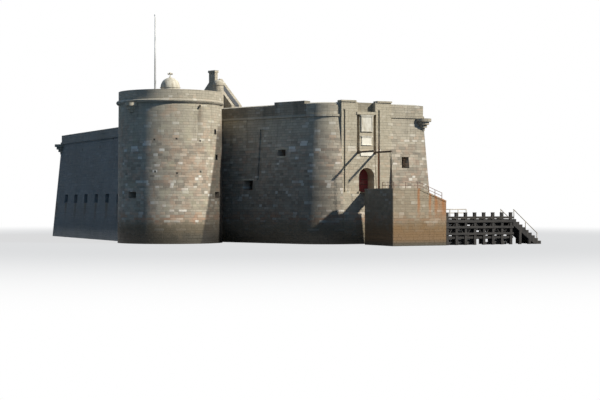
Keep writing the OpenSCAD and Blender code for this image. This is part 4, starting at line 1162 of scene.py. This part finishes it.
def ball_points(centre, radius):
    """A sphere's points by its two angles: rings from the top down, then the two poles."""
    down = np.linspace(0.0, np.pi, ball_rings + 2)[1:-1, None]
    turn = np.linspace(0.0, 2.0 * np.pi, ball_columns, endpoint=False)[None, :]
    wide = np.sin(down)
    unit = np.stack([wide * np.cos(turn), wide * np.sin(turn), np.cos(down) + 0.0 * turn], -1)
    unit = np.concatenate([unit.reshape(-1, 3), [[0.0, 0.0, 1.0], [0.0, 0.0, -1.0]]])
    return np.array(centre) + radius * unit


def ball_faces(first):
    """The quads between a ball's rings, and a fan of triangles at each pole."""
    index = first + np.arange(ball_rings * ball_columns).reshape(ball_rings, ball_columns)
    after = np.roll(index, -1, 1)
    top, bottom = index[-1, -1] + 1, index[-1, -1] + 2
    corners = [index[:-1], index[1:], after[1:], after[:-1]]
    fans = [(top, a, b) for a, b in zip(index[0], after[0])]
    fans += [(a, bottom, b) for a, b in zip(index[-1], after[-1])]
    return np.stack(corners, -1).reshape(-1, 4).tolist() + fans


balls = [((*(np.array(tower_centre) + side * lobe_reach * rope_side), lobe_z), lobe_radius)
         for side in (-1, 1)]
balls.append(((*tower_centre, collar_z), collar_radius))
new_piece("finial_lobes", np.concatenate([ball_points(*ball) for ball in balls]),
          [face for k in range(len(balls)) for face in ball_faces(ball_size * k)],
          turret_render, "fort", "pale_render", (3, 4))


# The landing: a masonry pier of squared stones, with rust running down below the rail's
# posts, an ochre foot, and iron rails on its low parapet.
rail_posts = [0.635, 1.315, 1.720, 2.160]
pier_cream = (0.300, 0.228, 0.135)
pier_ochre = (0.23, 0.125, 0.045)
rust_run = (0.380, 0.150, 0.045)
rail_tones = [(0.35, (0.10, 0.035, 0.018)), (0.5, (0.17, 0.075, 0.04)),
              (0.7, (0.24, 0.20, 0.17))]
pier_left_x = -0.98


def pier_colours(colour, where, run):
    """Cream stone, with a rust streak below each post that widens and fades downwards, more
    rust towards the stair, ochre near its foot, and painted shade over the left face."""
    x, _, z = spread(where)
    colour = blend(smooth(z, 0.7, 1.9) * 0.5, colour, pier_cream)
    wander = cloudy(joined(x * 2.0, z * 1.2, 0.0), 1.0) * 0.3 - 0.15
    for post in rail_posts:
        near = smooth(abs(x - post + wander), 0.15, 0.02)
        colour = blend(near * smooth(z, 1.2, 2.4) * 0.75, colour, rust_run)
    toward_end = smooth(x + wander, 1.3, 2.3) * smooth(z, 1.0, 2.1)
    colour = blend(toward_end * 0.6, colour, rust_run)
    patchy = cloudy(where, 1.7, 5.0, 0.6)
    ochre = smooth(z, 0.05, 0.40) * smooth(z - patchy * 1.8, 0.9, -0.2)
    colour = blend(ochre * 0.75, colour, pier_ochre)
    # Painted shade over the pier's left face, deeper towards its foot.
    lee_shade = smooth(x, pier_left_x + 0.08, pier_left_x) * smooth(z + patchy, 4.4, 2.6)
    return scaled(colour, 0.93 - lee_shade * 0.40)


def rail_paint():
    """Grey paint that has mostly given way to rust."""
    finish, shader, where = new_finish("rail_paint")
    patch = cloudy(where, 14.0, 5.0, 0.6)
    coat(shader, colours_of(patch, rail_tones), patch * 0.3 + 0.45, patch, 0.002, 0.5)
    return finish


dress(["landing_pier", "landing_parapet", "landing_stair"],
      granite_finish("pier_granite", straight_run, pier_colours))
dress(["landing_railing"], rail_paint())


# The jetty: a landing stage of tarred piles and braces, closed at its front by boards, with
# fenders spiked to the piles, a plank deck, a stair, and handrails of paler timber.
jetty_low, jetty_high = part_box("jetty_deck")
stair_low, stair_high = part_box("jetty_stair")
long_x = jetty_high.x - jetty_low.x
post_in = 0.15
bay_count = 7
bay = (long_x - 2 * post_in) / bay_count
deck_proud = 0.03
jetty_plank_count = 30
fender_heights = (0.62, 0.98, 1.30)
fender_sizes = (long_x, 0.035, 0.13)
board_rows, board_pitch, lowest_board = 9, 0.158, 0.08
front_board_in = 0.27
front_board_thick, front_board_high = 0.04, 0.154
lost_share, short_share, short_size = 0.10, 0.15, 0.70
tread_count = 9
tread_rise = jetty_high.z / (tread_count + 1)
tread_deep = (stair_high.x - stair_low.x) / tread_count
tread_sizes = (tread_deep * 1.06, 1.30, 0.03)
tread_middle, tread_over = 0.46, 0.012
cap_sizes = (0.17, 0.17, 0.03)
cap_in, cap_z = 0.095, 1.785
rail_in = 0.06
stair_rail_top, stair_rail_foot = jetty_high.z + 0.42, 0.60
stair_post_down = 0.52
stair_post_shares = (0.02, 0.5, 0.98)
back_rail_long = 2.2
back_rail_heights = (1.76, 1.96)
back_post_z = (1.54, 1.97)
rail_radius = 0.022


def front_boards():
    """Boards between the piles, row by row in each bay. A few are lost and some are broken
    short at their right end."""
    boxes = []
    lost = np.random.default_rng(11)
    for k in range(bay_count):
        for row in range(board_rows):
            if lost.random() > lost_share:
                size = bay if lost.random() > short_share else bay * short_size
                middle = jetty_low.x + post_in + (k + 0.5) * bay - (bay - size) / 2
                place = (middle, jetty_low.y + front_board_in, lowest_board + row * board_pitch)
                boxes.append((place, (size, front_board_thick, front_board_high)))
    return boxes


def stair_rail(y):
    """One sloping handrail beside the stair, and its three posts, which hang plumb below
    points of the rail."""
    top = np.array([stair_low.x + 0.02, stair_rail_top])
    foot = np.array([stair_high.x - 0.25, stair_rail_foot])
    lines = [((top[0], y, top[1]), (foot[0], y, foot[1]))]
    for share in stair_post_shares:
        x, z = top + share * (foot - top)
        lines.append(((x, y, max(z - stair_post_down, 0.05)), (x, y, z + 0.01)))
    return lines


jetty_timber = tarred_timber("jetty_timber", (0.008, 0.008, 0.009), (0.040, 0.034, 0.029), "z")
jetty_boards = tarred_timber("jetty_boards", (0.022, 0.020, 0.019), (0.110, 0.092, 0.074), "y")
fender_timber = tarred_timber("fender_timber", (0.008, 0.008, 0.009), (0.042, 0.036, 0.031), "x")
pale_rails = tarred_timber("rail_timber", (0.26, 0.22, 0.17), (0.52, 0.46, 0.36), "x")
dress(["jetty_piles", "jetty_stair", "mooring_posts"], jetty_timber)
dress(["jetty_deck"], jetty_boards)
planks("jetty_planks", (jetty_low.x, jetty_low.y - deck_proud, jetty_high.z - 0.012),
       (jetty_high.x, jetty_high.y + deck_proud, jetty_high.z + 0.016),
       jetty_plank_count, 0, jetty_boards, "fort")
middle_x = (jetty_low.x + jetty_high.x) / 2
middle_y = (jetty_low.y + jetty_high.y) / 2
fenders = [((middle_x, y, z), fender_sizes) for z in fender_heights
           for y in (jetty_low.y + 0.005, jetty_high.y - 0.005)]
blocks("jetty_fenders", fenders + front_boards(), fender_timber, "fort", "dark_wood", 0.006)
treads = [((stair_low.x + (k + tread_middle) * tread_deep, middle_y,
            jetty_high.z - (k + 1) * tread_rise + tread_over), tread_sizes)
          for k in range(tread_count)]
blocks("jetty_treads", treads, jetty_boards, "fort", "dark_wood", 0.005)
caps = [((jetty_low.x + post_in + k * bay, jetty_low.y + cap_in, cap_z), cap_sizes)
        for k in range(bay_count + 1)]
blocks("post_caps", caps, jetty_boards, "fort", "dark_wood", 0.012)
back_y = jetty_high.y - rail_in
back_ends = (jetty_low.x + 0.05, jetty_low.x + back_rail_long)
rail_lines = stair_rail(jetty_low.y + rail_in) + stair_rail(back_y)
rail_lines += [[(x, back_y, z) for x in back_ends] for z in back_rail_heights]
rail_lines += [[(x, back_y, z) for z in back_post_z] for x in np.linspace(*back_ends, 5)]
rods("jetty_rails", rail_lines, rail_radius, pale_rails, "fort", "dark_wood")


# The stage: a wide pale floor that keeps the fort's shadow near it and fades to the white
# of the backdrop further out, under a soft cool sky.
floor_radius = 420.0
floor_sides = 96
floor_z = -0.001
floor_colour = (0.075, 0.095, 0.115)
fade_from, fade_to = 22.0, 60.0
near_glow = 0.70
white = (1.0, 1.0, 1.0)
sky_colour = (0.30, 0.58, 1.0)
sky_strength = 0.34


def pale_floor():
    """A dull floor for the light that it throws back, seen by the camera as mostly white:
    the share of white grows with the distance from the fort's middle."""
    finish, shader, where = new_finish("pale_floor")
    tree = finish.node_tree
    x, y, _ = spread(where)
    middle = (solid_box[0] + solid_box[1]) / 2
    dx = x - middle.x
    dy = y - middle.y
    far = smooth(reckon("SQRT", dx * dx + dy * dy), fade_from, fade_to)
    seen = Field(tree.nodes.new("ShaderNodeLightPath").outputs["Is Camera Ray"])
    glow = tree.nodes.new("ShaderNodeEmission")
    fill(glow.inputs["Color"], white)
    both = tree.nodes.new("ShaderNodeMixShader")
    fill(both.inputs[0], seen * (far * (1.0 - near_glow) + near_glow))
    coat(shader, floor_colour, 1.0)
    shader.inputs["Specular IOR Level"].default_value = 0.0
    tree.links.new(shader.outputs[0], both.inputs[1])
    tree.links.new(glow.outputs[0], both.inputs[2])
    tree.links.new(both.outputs[0], tree.nodes["Material Output"].inputs["Surface"])
    return finish


around = np.linspace(0.0, 2.0 * np.pi, floor_sides, endpoint=False)
rim = [np.cos(around) * floor_radius, np.sin(around) * floor_radius, 0 * around + floor_z]
floor_mesh = bpy.data.meshes.new("floor")
floor_mesh.from_pydata(np.stack(rim, -1).tolist(), [], [list(range(floor_sides))])
floor_mesh.materials.append(pale_floor())
floor = bpy.data.objects.new("floor", floor_mesh)
bpy.context.scene.collection.objects.link(floor)

world = bpy.data.worlds.new("backdrop")
bpy.context.scene.world = world
world.use_nodes = True
sky = world.node_tree.nodes["Background"]
path = world.node_tree.nodes.new("ShaderNodeLightPath")
shown = reckon("MAXIMUM", *[Field(path.outputs["Is %s Ray" % k]) for k in ("Camera", "Glossy")])
shown = reckon("MAXIMUM", shown, Field(path.outputs["Is Transmission Ray"]))
fill(sky.inputs["Color"], blend(shown, sky_colour, white))
fill(sky.inputs["Strength"], shown * (1.0 - sky_strength) + sky_strength)
